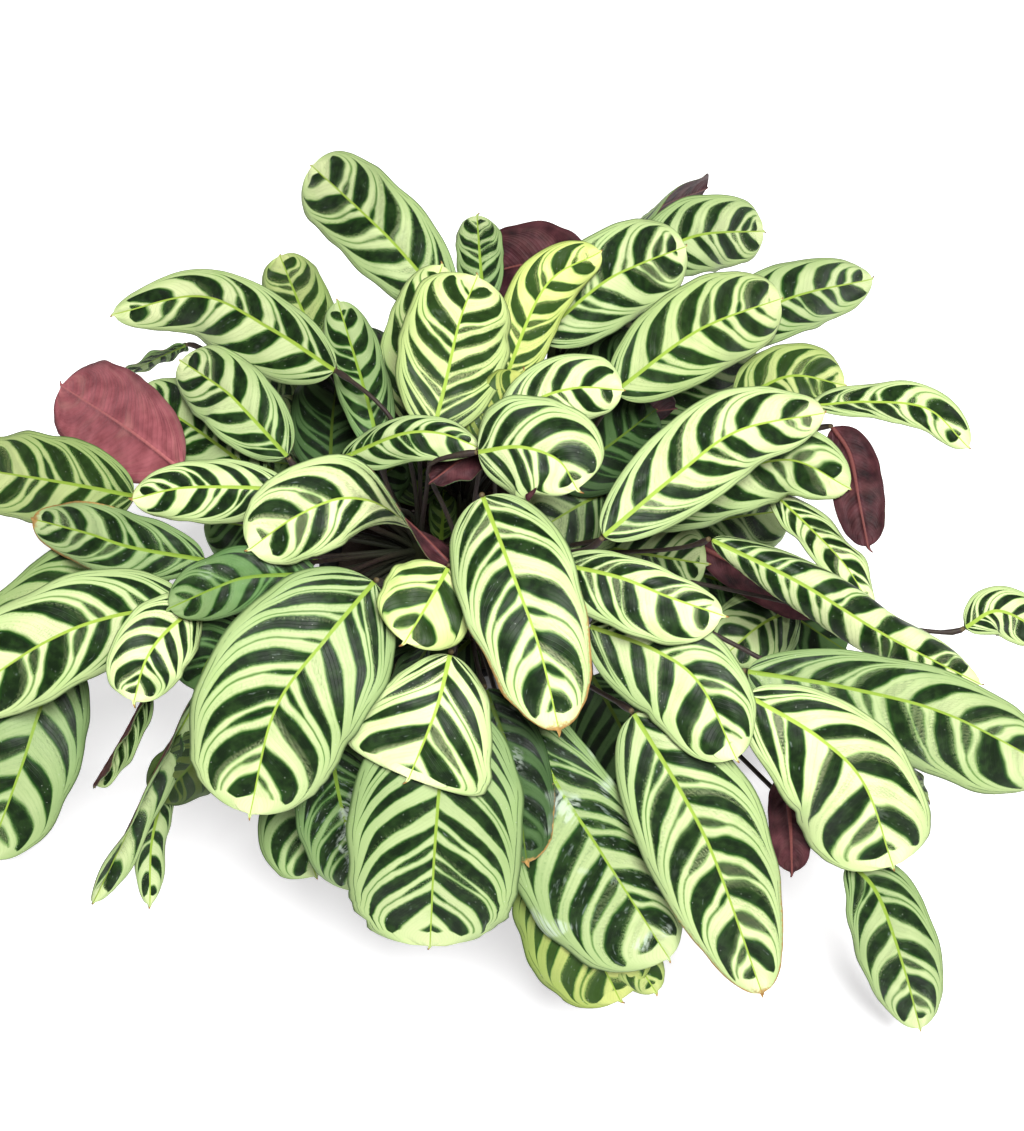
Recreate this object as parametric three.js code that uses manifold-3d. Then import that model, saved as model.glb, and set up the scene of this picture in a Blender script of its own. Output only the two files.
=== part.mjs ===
// Fishbone prayer plant, burle-marxii, in a plain dark nursery pot.
// Millimetres, +Z up. The origin is the middle of the pot's flat underside.
import * as THREE from 'three';
import { mergeVertices } from 'three/addons/utils/BufferGeometryUtils.js';
import Module from 'manifold-3d';

const wasm = await Module();
wasm.setup();

// Pot: a thin moulded shell with a turned-down rim and drain holes round the foot.
const POT_HEIGHT = 130;
const POT_RIM_RADIUS = 78;
const POT_FOOT_RADIUS = 54;
const POT_WALL = 2.2;
const POT_FLOOR = 3;
const POT_FOOT_BEVEL = 1.5;
const RIM_DEPTH = 14;
const RIM_OVERHANG = 3.5;
const RIM_BEVEL = 1;
const DRAIN_HOLES = 8;
const DRAIN_HOLE = { across: 9, height: 12, depth: 14 };
const ROUND_SIDES = 48;

// Potting mix: fills the pot to a finger's width under the rim.
const SOIL_TOP = 118;
const SOIL_EDGE_DROP = 4;
const SOIL_FLAT_RADIUS = 46;
const FIT_GAP = 0.3;

// Shoots: sheathed crowns in a ring round the middle of the pot, each with its leaf stalks.
// The crown's profile is given as shares of its radius and of its height.
const SHOOT_NAMES = ['shoot_right', 'shoot_back', 'shoot_left', 'shoot_front'];
const SHOOT_RING_RADIUS = 24;
const CROWN_RADIUS = 9;
const CROWN_HEIGHT = 26;
const CROWN_PROFILE = [[0, 0], [1, 0], [0.9, 0.35], [0.55, 0.8], [0.3, 1], [0, 1]];
const CROWN_SIDES = 16;
const STALK_RADIUS = 1.25;
const STALK_SIDES = 6;
const STALK_STEPS = 8;

// Blades: thin sheets with a rounded outline, widest a little before the middle.
const BLADE_THICKNESS = 0.8;
const BLADE_END_HALF_WIDTH = 1.1;
const BLADE_ROWS = 8;
const BLADE_STRIPS = 4;
const BLADE_START = 0.02;
const BOX_UNDERSIDE = 5;
const WAVE_COUNT = 2.5;
const USUAL = { fold: 8, curl: -18, skew: 0, wave: 1.2, widest: 0.46, base: 2.2, tip: 3 };

// Laying the leaves: the picture is looked at in cells of a few pixels.
const LAY_CELL = 5;
const LAY_ROWS = 60;
const LAY_COLUMNS = 30;
const LAY_CLEARANCE = 1.8;

// Stalks: the routes tried, in millimetres, and the room each keeps from blades and other shoots.
// A stalk's last few millimetres may come closer to the blades that lie under its own.
const STALK_RISES = [40, 70, 100, 20];
const STALK_LEANS = [0.3, 0.1, 0.6, -0.1];
const STALK_RUNS = [14, 30, 50];
const STALK_SAGS = [0, 12, 26];
const STALK_SAMPLES = 40;
const STALK_END = 6;
const STALK_ROOM = 7;
const STALK_END_ROOM = 3;
const LENGTH_COST = 0.004;
const SPREAD_ROWS = 50;
const SPREAD_COLUMNS = 22;
const NEAR_CUBE = 8;
const RIM_POINTS = 90;

// Canopy: a low dome, flatter toward the back. Midrib heights in the leaf list are from it.
const DOME_TOP = 240;
const DOME_DROP = 80;
const DOME_RADIUS = 250;
const DOME_BACK_STRETCH = 0.5;
const DOME_PASSES = 40;

// The photograph is 1024 by 1131 pixels and looks at the plant from the front and above.
const PHOTO_CENTRE = { x: 512, y: 565.5 };
const PHOTO_FOCAL = 1562;
const VIEW_ELEVATION = THREE.MathUtils.degToRad(55);
const VIEW_DISTANCE = 850;
const VIEW_AIM = new THREE.Vector3(26, 0, SOIL_TOP);

const forward = new THREE.Vector3(0, Math.cos(VIEW_ELEVATION), -Math.sin(VIEW_ELEVATION));
const upward = new THREE.Vector3(0, Math.sin(VIEW_ELEVATION), Math.cos(VIEW_ELEVATION));
const viewer = VIEW_AIM.clone().addScaledVector(forward, -VIEW_DISTANCE);

const MATERIALS = {
  leaf: { color: 0xb4d27a, roughness: 0.42, metalness: 0 },
  stalk: { color: 0x6f7a3c, roughness: 0.5, metalness: 0 },
  soil: { color: 0x2b2018, roughness: 0.95, metalness: 0 },
  pot: { color: 0x26282a, roughness: 0.55, metalness: 0 },
};

// Leaves in the order they lie, the hindmost first. A midrib runs from base to tip through
// points [x, y, h, roll]: pixel x and y in the photograph, height over the dome in millimetres,
// and roll in degrees, 0 with the upper face to the viewer and 180 with the underside.
// width is the full width in millimetres, reached at widest along the midrib, and skew moves the
// midrib to one side; base and tip say how blunt the two ends are; fold and curl bend each half
// at the midrib and beside it, in degrees; wave is the height of the ripples along the edge.
const LEAVES = [
  {
    name: 'leaf_back_06', width: 46,
    midrib: [[590, 278, -26, 180], [535, 264, -30, 180], [484, 274, -42, 180]],
  },
  { name: 'leaf_back_07', width: 26, midrib: [[484, 306, -22, 0], [480, 258, -14, 0], [477, 216, -18, 0]] },
  {
    name: 'leaf_back_01', width: 42,
    midrib: [[604, 268, -34, 55], [650, 212, -22, 92], [706, 188, -26, 130]],
  },
  { name: 'leaf_back_02', width: 43, midrib: [[640, 266, -14, 0], [695, 236, -4, 0], [763, 231, -14, 0]] },
  {
    name: 'leaf_back_03', width: 42, tip: 1.8,
    midrib: [[700, 350, -24, 10], [785, 300, -14, 10], [872, 279, -18, 0]],
  },
  {
    name: 'leaf_right_01', width: 36,
    midrib: [[735, 402, -30, 0], [790, 376, -26, 0], [844, 385, -30, 0]],
  },
  {
    name: 'leaf_back_04', width: 50,
    midrib: [[538, 338, -14, 0], [600, 285, -6, 0], [640, 264, -4, 0], [685, 247, -8, 0]],
  },
  {
    name: 'leaf_back_05', width: 50,
    midrib: [[615, 392, -10, 0], [680, 342, 0, 0], [720, 320, 2, 0], [780, 299, -4, 0]],
  },
  {
    name: 'leaf_back_08', width: 48, tip: 4,
    midrib: [[452, 312, -26, 0], [400, 250, -10, 0], [362, 212, -4, 0], [312, 166, -8, 0]],
  },
  { name: 'leaf_back_09', width: 34, midrib: [[418, 428, -22, 0], [414, 350, -12, 0], [442, 266, -14, 0]] },
  { name: 'leaf_back_10', width: 32, midrib: [[500, 392, -4, 0], [545, 287, 8, 0], [600, 252, 12, 0]] },
  {
    name: 'leaf_centre_01', width: 54,
    midrib: [[433, 432, -2, 0], [445, 385, 8, 0], [460, 320, 12, 0], [477, 277, 10, 0]],
  },
  { name: 'leaf_left_01', width: 27, midrib: [[380, 455, -14, 0], [366, 395, -4, 0], [338, 302, -4, 0]] },
  {
    name: 'leaf_left_02', width: 52,
    midrib: [[182, 470, -14, 200], [130, 430, -4, 190], [62, 386, -4, 180]],
  },
  {
    name: 'leaf_left_03', width: 42, skew: 0.2, tip: 2,
    midrib: [[335, 370, 6, 0], [270, 328, 6, 0], [200, 296, 6, 0], [114, 314, 2, 0]],
  },
  {
    name: 'leaf_left_04', width: 38,
    midrib: [[287, 456, -8, 0], [240, 405, 2, 0], [220, 387, 3, 0], [181, 361, 0, 0]],
  },
  { name: 'leaf_left_05', width: 47, midrib: [[134, 496, -12, 0], [60, 482, 0, 0], [-30, 468, 12, 0]] },
  {
    name: 'leaf_left_06', width: 44,
    midrib: [[175, 560, -24, 0], [105, 570, -24, 0], [50, 606, -20, 0], [-20, 660, -14, 0]],
  },
  {
    name: 'leaf_left_07', width: 33,
    midrib: [[204, 560, -20, 0], [130, 547, -6, 0], [90, 534, 0, 0], [33, 519, 2, 0]],
  },
  {
    name: 'leaf_left_08', width: 31, skew: 0.15,
    midrib: [[288, 490, -6, 0], [240, 487, 0, 0], [180, 488, 6, 0], [133, 499, 8, 0]],
  },
  {
    name: 'leaf_left_09', width: 52,
    midrib: [[62, 650, -26, 0], [38, 715, -22, 0], [22, 765, -22, 0], [-12, 858, -30, 0]],
  },
  {
    name: 'leaf_left_10', width: 50,
    midrib: [[188, 606, -10, 0], [110, 617, -2, 0], [40, 645, 6, 0], [-50, 706, 10, 0]],
  },
  {
    name: 'leaf_left_11', width: 20, fold: 65, curl: 0,
    midrib: [[150, 690, -20, 30], [125, 735, -28, 30], [95, 784, -40, 40]],
  },
  {
    name: 'leaf_left_12', width: 36,
    midrib: [[196, 606, -16, 0], [164, 634, -4, 0], [145, 662, 0, 0], [134, 701, -8, 0]],
  },
  {
    name: 'leaf_left_13', width: 30,
    midrib: [[316, 574, -12, 0], [250, 577, -4, 0], [215, 588, 0, 0], [170, 608, 0, 0]],
  },
  {
    name: 'leaf_front_01', width: 16,
    midrib: [[170, 770, -62, 20], [152, 840, -78, 20], [150, 904, -92, 20]],
  },
  {
    name: 'leaf_front_02', width: 22, fold: 40,
    midrib: [[205, 684, -24, 30], [160, 765, -44, 60], [94, 901, -76, 30]],
  },
  {
    name: 'leaf_front_03', width: 44,
    midrib: [[330, 745, -30, 0], [340, 800, -42, 0], [352, 845, -54, 0], [362, 890, -70, 0]],
  },
  {
    name: 'leaf_front_04', width: 60,
    midrib: [[545, 850, -50, 0], [580, 920, -60, 0], [620, 1000, -80, 0]],
  },
  {
    name: 'leaf_front_05', width: 66, skew: -0.3,
    midrib: [[528, 700, -22, 0], [550, 770, -28, 0], [600, 850, -40, 0], [669, 958, -64, 0]],
  },
  {
    name: 'leaf_front_06', width: 34,
    midrib: [[486, 690, -22, 0], [512, 765, -26, 0], [527, 862, -38, 0]],
  },
  {
    name: 'leaf_front_07', width: 78, tip: 5,
    midrib: [[448, 700, -12, 0], [440, 780, -18, 0], [434, 860, -32, 0], [430, 946, -60, 0]],
  },
  {
    name: 'leaf_centre_02', width: 34,
    midrib: [[500, 452, -6, 0], [530, 405, 4, 0], [575, 388, 2, 0], [622, 390, -2, 0]],
  },
  {
    name: 'leaf_centre_03', width: 22, skew: -0.3,
    midrib: [[343, 457, -8, 0], [400, 434, 4, 0], [440, 433, 6, 0], [478, 447, 4, 0]],
  },
  {
    name: 'leaf_centre_04', width: 50,
    midrib: [[478, 452, 6, 0], [528, 426, 12, 0], [552, 446, 12, 0], [577, 489, 4, 0]],
  },
  {
    name: 'leaf_right_02', width: 26,
    midrib: [[812, 406, -6, 50], [870, 402, 0, 40], [928, 409, 4, 10], [968, 447, 3, 0]],
  },
  {
    name: 'leaf_right_03', width: 27,
    midrib: [[833, 428, -16, 180], [850, 455, -16, 180], [860, 505, -22, 180], [868, 546, -30, 180]],
  },
  {
    name: 'leaf_right_04', width: 30,
    midrib: [[770, 490, -42, 50], [812, 530, -34, 50], [845, 565, -22, 50], [871, 606, -20, 50]],
  },
  {
    name: 'leaf_right_05', width: 42,
    midrib: [[640, 520, -18, 0], [720, 478, -16, 0], [790, 460, -18, 0], [849, 488, -20, 0]],
  },
  {
    name: 'leaf_right_06', width: 43, tip: 2.4,
    midrib: [[604, 536, -2, 0], [680, 472, 8, 0], [740, 430, 10, 0], [824, 413, 8, 0]],
  },
  {
    name: 'leaf_right_07', width: 40, curl: -125,
    midrib: [[712, 540, -14, 0], [800, 583, -6, 0], [885, 635, -2, 0], [980, 684, -2, 0]],
  },
  { name: 'leaf_right_08', width: 26, midrib: [[966, 627, 0, 0], [1000, 611, 8, 0], [1050, 636, 8, 0]] },
  {
    name: 'leaf_right_09', width: 20,
    midrib: [[784, 775, -36, 180], [790, 820, -46, 180], [792, 872, -56, 180]],
  },
  {
    name: 'leaf_right_10', width: 40,
    midrib: [[850, 862, -46, 0], [878, 895, -44, 0], [903, 965, -52, 0], [920, 1028, -68, 0]],
  },
  {
    name: 'leaf_right_11', width: 62,
    midrib: [[748, 671, -8, 0], [850, 688, 4, 0], [950, 715, 8, 0], [1055, 770, 8, 0]],
  },
  {
    name: 'leaf_front_08', width: 58,
    midrib: [[634, 714, -12, 0], [680, 790, -16, 0], [715, 860, -24, 0], [762, 993, -54, 0]],
  },
  {
    name: 'leaf_right_12', width: 56, skew: -0.2, widest: 0.6,
    midrib: [[748, 695, -4, 0], [820, 738, 2, 0], [865, 785, -6, 0], [893, 866, -26, 0]],
  },
  {
    name: 'leaf_right_13', width: 48, skew: -0.15,
    midrib: [[590, 626, -14, 0], [655, 650, -6, 0], [700, 684, -2, 0], [736, 758, -6, 0]],
  },
  {
    name: 'leaf_right_14', width: 34, skew: -0.35,
    midrib: [[560, 563, -2, 0], [620, 577, 8, 0], [670, 597, 10, 0], [722, 615, 10, 0]],
  },
  {
    name: 'leaf_front_09', width: 62, tip: 4, base: 1.3, widest: 0.72,
    midrib: [[450, 655, -8, 0], [436, 710, -6, 0], [409, 778, -16, 0]],
  },
  {
    name: 'leaf_left_15', width: 43, base: 1.2, widest: 0.62,
    midrib: [[457, 572, -8, 130], [393, 512, 2, 75], [345, 498, 6, 15], [295, 517, 6, 0], [250, 549, 0, 0]],
  },
  {
    name: 'leaf_left_14', width: 73,
    midrib: [[374, 582, -2, 0], [325, 640, 6, 0], [275, 710, 2, 0], [250, 814, -20, 0]],
  },
  { name: 'leaf_front_10', width: 44, midrib: [[448, 568, 0, 0], [430, 600, 4, 0], [405, 642, -2, 0]] },
  {
    name: 'leaf_centre_05', width: 55, tip: 4,
    midrib: [[483, 497, 4, 0], [515, 580, 12, 0], [540, 650, 10, 0], [559, 730, -2, 0]],
  },
];

// A point of the photograph, on the surface that lies h above the canopy dome.
function placeFromPhoto(x, y, h) {
  const ray = forward.clone().multiplyScalar(PHOTO_FOCAL);
  ray.x += x - PHOTO_CENTRE.x;
  ray.addScaledVector(upward, PHOTO_CENTRE.y - y);
  const point = new THREE.Vector3();
  let height = DOME_TOP;
  for (let pass = 0; pass < DOME_PASSES; pass += 1) {
    point.copy(viewer).addScaledVector(ray, (height - viewer.z) / ray.z);
    const depth = point.y > 0 ? point.y * DOME_BACK_STRETCH : point.y;
    const reach = Math.hypot(point.x, depth) / DOME_RADIUS;
    height = (height + DOME_TOP - DOME_DROP * reach * reach + h) / 2;
  }
  return point;
}

// Half the blade's width at s, as a share of the widest, from 0 at the base to 1 at the tip.
function outline(leaf, s) {
  const beyond = s > leaf.widest;
  const reach = beyond ? (s - leaf.widest) / (1 - leaf.widest) : (leaf.widest - s) / leaf.widest;
  return Math.sqrt(Math.max(0, 1 - reach ** (beyond ? leaf.tip : leaf.base)));
}

// A blade's surface: at(s, t, lift) is the point s along the midrib, t across from -1 to 1, and
// lift millimetres proud of the middle of its thickness.
function bladeSurface(given) {
  const leaf = { ...USUAL, ...given };
  const through = (points) => new THREE.CatmullRomCurve3(points, false, 'catmullrom', 0.5);
  const midrib = through(leaf.midrib.map(([x, y, h]) => placeFromPhoto(x, y, h)));
  const rolls = through(leaf.midrib.map((point) => new THREE.Vector3(point[3], 0, 0)));
  const fold = THREE.MathUtils.degToRad(leaf.fold);
  const curl = THREE.MathUtils.degToRad(leaf.curl);
  const at = (s, t, lift) => {
    const place = midrib.getUtoTmapping(s);
    const spine = midrib.getPoint(place);
    const along = midrib.getTangent(place);
    const roll = THREE.MathUtils.degToRad(rolls.getPoint(place).x);
    const toViewer = viewer.clone().sub(spine);
    const side = along.clone().cross(toViewer).normalize();
    const face = side.clone().cross(along);
    const across = side.clone().multiplyScalar(Math.cos(roll)).addScaledVector(face, Math.sin(roll));
    const out = face.multiplyScalar(Math.cos(roll)).addScaledVector(side, -Math.sin(roll));
    const share = outline(leaf, s);
    const half = Math.max(leaf.width / 2 * share, BLADE_END_HALF_WIDTH);
    const reach = Math.abs(t) * half * (1 - leaf.skew * Math.sign(t));
    const lean = fold + curl * Math.abs(t);
    const chord = fold + curl * Math.abs(t) / 2;
    const turn = 2 * Math.PI * WAVE_COUNT * s + 2 * t + leaf.width;
    const ripple = leaf.wave * share * t * t * Math.sin(turn);
    const sideways = reach * Math.cos(chord) - lift * Math.sin(lean);
    const outward = reach * Math.sin(chord) + lift * Math.cos(lean) + ripple;
    return spine.addScaledVector(across, sideways * Math.sign(t)).addScaledVector(out, outward);
  };
  return { name: leaf.name, at };
}

// How a point shows in the photograph: pixel x and y, and its distance along the line of sight.
function inPhoto(point) {
  const offset = point.clone().sub(viewer);
  const distance = offset.dot(forward);
  return {
    x: PHOTO_CENTRE.x + PHOTO_FOCAL * offset.x / distance,
    y: PHOTO_CENTRE.y - PHOTO_FOCAL * offset.dot(upward) / distance,
    distance,
  };
}

// Leaves lie on the ones behind them. Each is drawn toward the viewer, which leaves its picture
// as it is, just far enough to clear every leaf laid before it.
function layLeaves(surfaces) {
  const nearest = new Map();
  return surfaces.map((surface) => {
    const cells = new Map();
    for (let row = 0; row <= LAY_ROWS; row += 1) {
      for (let column = 0; column <= LAY_COLUMNS; column += 1) {
        const spot = inPhoto(surface.at(row / LAY_ROWS, 2 * column / LAY_COLUMNS - 1, 0));
        const key = `${Math.floor(spot.x / LAY_CELL)} ${Math.floor(spot.y / LAY_CELL)}`;
        const cell = cells.get(key) ?? { near: Infinity, far: 0 };
        cell.near = Math.min(cell.near, spot.distance);
        cell.far = Math.max(cell.far, spot.distance);
        cells.set(key, cell);
      }
    }
    let closer = 1;
    cells.forEach((cell, key) => {
      closer = Math.min(closer, ((nearest.get(key) ?? Infinity) - LAY_CLEARANCE) / cell.far);
    });
    cells.forEach((cell, key) => {
      nearest.set(key, Math.min(nearest.get(key) ?? Infinity, cell.near * closer));
    });
    const at = (s, t, lift) => surface.at(s, t, lift).sub(viewer).multiplyScalar(closer).add(viewer);
    const start = at(0, 0, 0);
    const heading = at(BLADE_START, 0, 0).sub(start).normalize();
    return { name: surface.name, at, base: start, heading };
  });
}

// A box splits the patches of its underside along the other diagonal than those of its upper face,
// and the two would cross where a thin sheet ripples. This turns the underside's diagonals.
function splitAlike(index, under) {
  for (let i = under.start; i < under.start + under.count; i += 6) {
    const [a, b, d, , c] = index.array.slice(i, i + 6);
    index.array.set([a, b, c, a, c, d], i);
  }
}

// A closed sheet a blade thick, bent from a flat box with its faces split in rows and strips.
function bladeGeometry(leaf) {
  const sheet = new THREE.BoxGeometry(2, 1, 1, BLADE_STRIPS, BLADE_ROWS, 1);
  const corners = sheet.getAttribute('position');
  for (let i = 0; i < corners.count; i += 1) {
    const s = (1 - Math.cos(Math.PI * (corners.getY(i) + 0.5))) / 2;
    const point = leaf.at(s, corners.getX(i), corners.getZ(i) * BLADE_THICKNESS);
    corners.setXYZ(i, point.x, point.y, point.z);
  }
  splitAlike(sheet.getIndex(), sheet.groups[BOX_UNDERSIDE]);
  sheet.computeVertexNormals();
  return sheet;
}

// Points spread over a blade, that stalks keep clear of.
function bladePoints(leaf) {
  const points = [];
  for (let row = 0; row <= SPREAD_ROWS; row += 1) {
    for (let column = 0; column <= SPREAD_COLUMNS; column += 1) {
      points.push(leaf.at(row / SPREAD_ROWS, 2 * column / SPREAD_COLUMNS - 1, 0));
    }
  }
  return points;
}

// Space sorted in cubes, to find what lies near a point.
class Nearby {
  constructor() {
    this.cubes = new Map();
  }

  key(x, y, z) {
    return `${x} ${y} ${z}`;
  }

  add(points, owner) {
    points.forEach((point) => {
      const key = this.key(...point.toArray().map((value) => Math.floor(value / NEAR_CUBE)));
      if (!this.cubes.has(key)) this.cubes.set(key, []);
      this.cubes.get(key).push({ point, owner });
    });
  }

  clearance(point, owner) {
    const [x, y, z] = point.toArray().map((value) => Math.floor(value / NEAR_CUBE));
    let nearest = NEAR_CUBE;
    for (let i = -1; i <= 1; i += 1) {
      for (let j = -1; j <= 1; j += 1) {
        for (let k = -1; k <= 1; k += 1) {
          (this.cubes.get(this.key(x + i, y + j, z + k)) ?? []).forEach((entry) => {
            if (entry.owner !== owner) nearest = Math.min(nearest, entry.point.distanceTo(point));
          });
        }
      }
    }
    return nearest;
  }
}

// The ways a leaf stalk may go from its crown to its blade: how far it rises first, how far it
// leans out, how far it runs straight into the blade and how far it comes up from below. It
// stops short of the blade by the gap and by what the rim of its slanting end reaches forward.
function stalkRoutes(crown, leaf) {
  const outward = new THREE.Vector3(leaf.base.x - crown.x, leaf.base.y - crown.y, 0);
  const routes = [];
  STALK_RISES.forEach((rise) => STALK_LEANS.forEach((lean) => {
    STALK_RUNS.forEach((run) => STALK_SAGS.forEach((sag) => {
      const arriving = leaf.base.clone().addScaledVector(leaf.heading, -run);
      arriving.z -= sag;
      const slant = leaf.base.clone().sub(arriving).angleTo(leaf.heading);
      const setback = FIT_GAP + STALK_RADIUS * Math.sin(slant);
      const end = leaf.base.clone().addScaledVector(leaf.heading, -setback);
      const rising = crown.clone().addScaledVector(outward, lean).setZ(crown.z + rise);
      routes.push(new THREE.CubicBezierCurve3(crown.clone(), rising, arriving, end));
    }));
  }));
  return routes;
}

// The route with the most room, and of those alike the shortest.
function chooseStalk(crown, leaf, nearby, shoot) {
  let best = null;
  stalkRoutes(crown, leaf).forEach((route) => {
    const samples = route.getSpacedPoints(STALK_SAMPLES);
    const outside = samples.filter((point) => point.distanceTo(crown) > CROWN_HEIGHT);
    const rooms = outside.map((point) => nearby.blades.clearance(point, leaf.name));
    const ahead = rooms.filter((room, i) => outside[i].distanceTo(leaf.base) > STALK_END);
    const apart = Math.min(...outside.map((point) => nearby.stalks.clearance(point, shoot)));
    const score = Math.min(...ahead, apart, STALK_ROOM) + Math.min(...rooms, STALK_END_ROOM)
      - route.getLength() * LENGTH_COST;
    if (!best || score > best.score) best = { route, samples, score };
  });
  return best;
}

function stalkGeometry(route) {
  const section = new THREE.Shape();
  for (let i = 0; i < STALK_SIDES; i += 1) {
    const turn = 2 * Math.PI * i / STALK_SIDES;
    const corner = [STALK_RADIUS * Math.cos(turn), STALK_RADIUS * Math.sin(turn)];
    if (i === 0) section.moveTo(...corner);
    else section.lineTo(...corner);
  }
  return new THREE.ExtrudeGeometry(section, {
    steps: STALK_STEPS, extrudePath: route, bevelEnabled: false,
  });
}

function turned(profile, sides) {
  const points = profile.map(([radius, height]) => new THREE.Vector2(radius, height));
  return new THREE.LatheGeometry(points, sides).rotateX(Math.PI / 2);
}

function toSolid(geometry) {
  const bare = geometry.clone();
  bare.deleteAttribute('normal');
  bare.deleteAttribute('uv');
  const merged = mergeVertices(bare, 1e-4);
  return new wasm.Manifold(new wasm.Mesh({
    numProp: 3,
    vertProperties: new Float32Array(merged.getAttribute('position').array),
    triVerts: new Uint32Array(merged.getIndex().array),
  }));
}

function toGeometry(solid) {
  const mesh = solid.getMesh();
  const geometry = new THREE.BufferGeometry();
  geometry.setAttribute('position', new THREE.BufferAttribute(new Float32Array(mesh.vertProperties), 3));
  geometry.setIndex(Array.from(mesh.triVerts));
  geometry.computeVertexNormals();
  return geometry;
}

// The radius of the pot's tapered wall, on its outside, at a height.
function potRadius(height) {
  return POT_FOOT_RADIUS + (POT_RIM_RADIUS - RIM_OVERHANG - POT_FOOT_RADIUS) * height / POT_HEIGHT;
}

// The pot's wall, floor and rim, turned from one profile and cut by the drain holes.
function potGeometry() {
  const rimFoot = POT_HEIGHT - RIM_DEPTH;
  const shoulder = POT_HEIGHT - RIM_BEVEL;
  let pot = toSolid(turned([
    [0, 0],
    [POT_FOOT_RADIUS - POT_FOOT_BEVEL, 0],
    [potRadius(POT_FOOT_BEVEL), POT_FOOT_BEVEL],
    [potRadius(rimFoot), rimFoot],
    [potRadius(rimFoot) + RIM_OVERHANG, rimFoot],
    [POT_RIM_RADIUS, shoulder],
    [POT_RIM_RADIUS - RIM_BEVEL, POT_HEIGHT],
    [potRadius(POT_HEIGHT) - POT_WALL + RIM_BEVEL, POT_HEIGHT],
    [potRadius(shoulder) - POT_WALL, shoulder],
    [potRadius(POT_FLOOR) - POT_WALL, POT_FLOOR],
    [0, POT_FLOOR],
  ], ROUND_SIDES));
  for (let i = 0; i < DRAIN_HOLES; i += 1) {
    const hole = new THREE.BoxGeometry(DRAIN_HOLE.depth, DRAIN_HOLE.across, DRAIN_HOLE.height);
    hole.translate(POT_FOOT_RADIUS, 0, 0);
    hole.rotateZ(2 * Math.PI * (i + 0.5) / DRAIN_HOLES);
    pot = pot.subtract(toSolid(hole));
  }
  return toGeometry(pot);
}

// Potting mix: fills the pot's inside, level in the middle and a little lower at the wall.
function soilGeometry() {
  const floor = POT_FLOOR + FIT_GAP;
  const edge = SOIL_TOP - SOIL_EDGE_DROP;
  return turned([
    [0, floor],
    [potRadius(floor) - POT_WALL - FIT_GAP, floor],
    [potRadius(edge) - POT_WALL - FIT_GAP, edge],
    [SOIL_FLAT_RADIUS, SOIL_TOP],
    [0, SOIL_TOP],
  ], ROUND_SIDES);
}

// A crown: the pressed-together sheaths at the foot of a shoot, standing on the potting mix.
function crownGeometry() {
  return turned(CROWN_PROFILE.map(([r, h]) => [r * CROWN_RADIUS, h * CROWN_HEIGHT]), CROWN_SIDES);
}

// The pot's rim, as points that stalks keep clear of.
function rimPoints() {
  const points = [];
  for (let i = 0; i < RIM_POINTS; i += 1) {
    const turn = 2 * Math.PI * i / RIM_POINTS;
    points.push(new THREE.Vector3(Math.cos(turn), Math.sin(turn), 0).multiplyScalar(POT_RIM_RADIUS));
  }
  return points.map((point) => point.setZ(POT_HEIGHT));
}

// Each leaf belongs to the shoot on its side of the pot. The innermost leaves get their stalks
// first, and every stalk is joined to its shoot's crown.
function growShoots(leaves) {
  const quarters = SHOOT_NAMES.length;
  const nearby = { blades: new Nearby(), stalks: new Nearby() };
  leaves.forEach((leaf) => nearby.blades.add(bladePoints(leaf), leaf.name));
  nearby.blades.add(rimPoints(), 'pot');
  const shoots = SHOOT_NAMES.map((name, i) => {
    const turn = 2 * Math.PI * i / quarters;
    const foot = new THREE.Vector3(Math.cos(turn), Math.sin(turn), 0).multiplyScalar(SHOOT_RING_RADIUS);
    foot.z = SOIL_TOP + FIT_GAP;
    return { name, foot, solid: toSolid(crownGeometry().translate(...foot.toArray())) };
  });
  const fromMiddle = (leaf) => Math.hypot(leaf.base.x, leaf.base.y);
  const inmostFirst = [...leaves].sort((a, b) => fromMiddle(a) - fromMiddle(b));
  inmostFirst.forEach((leaf) => {
    const quarter = Math.round(Math.atan2(leaf.base.y, leaf.base.x) / (2 * Math.PI) * quarters);
    const shoot = shoots[(quarter + quarters) % quarters];
    const crown = shoot.foot.clone();
    crown.z += CROWN_HEIGHT / 2;
    const stalk = chooseStalk(crown, leaf, nearby, shoot.name);
    nearby.stalks.add(stalk.samples, shoot.name);
    shoot.solid = shoot.solid.add(toSolid(stalkGeometry(stalk.route)));
  });
  return shoots;
}

const plant = new THREE.Group();

function put(name, geometry, material) {
  const mesh = new THREE.Mesh(geometry, new THREE.MeshStandardMaterial(material));
  mesh.name = name;
  plant.add(mesh);
}

const leaves = layLeaves(LEAVES.map(bladeSurface));
put('pot', potGeometry(), MATERIALS.pot);
put('soil', soilGeometry(), MATERIALS.soil);
growShoots(leaves).forEach((shoot) => put(shoot.name, toGeometry(shoot.solid), MATERIALS.stalk));
leaves.forEach((leaf) => put(leaf.name, bladeGeometry(leaf), MATERIALS.leaf));

export default plant;
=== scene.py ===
import itertools
import math
import random

import bmesh
import bpy
import numpy as np
from mathutils import Euler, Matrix, Vector, kdtree, noise


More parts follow.
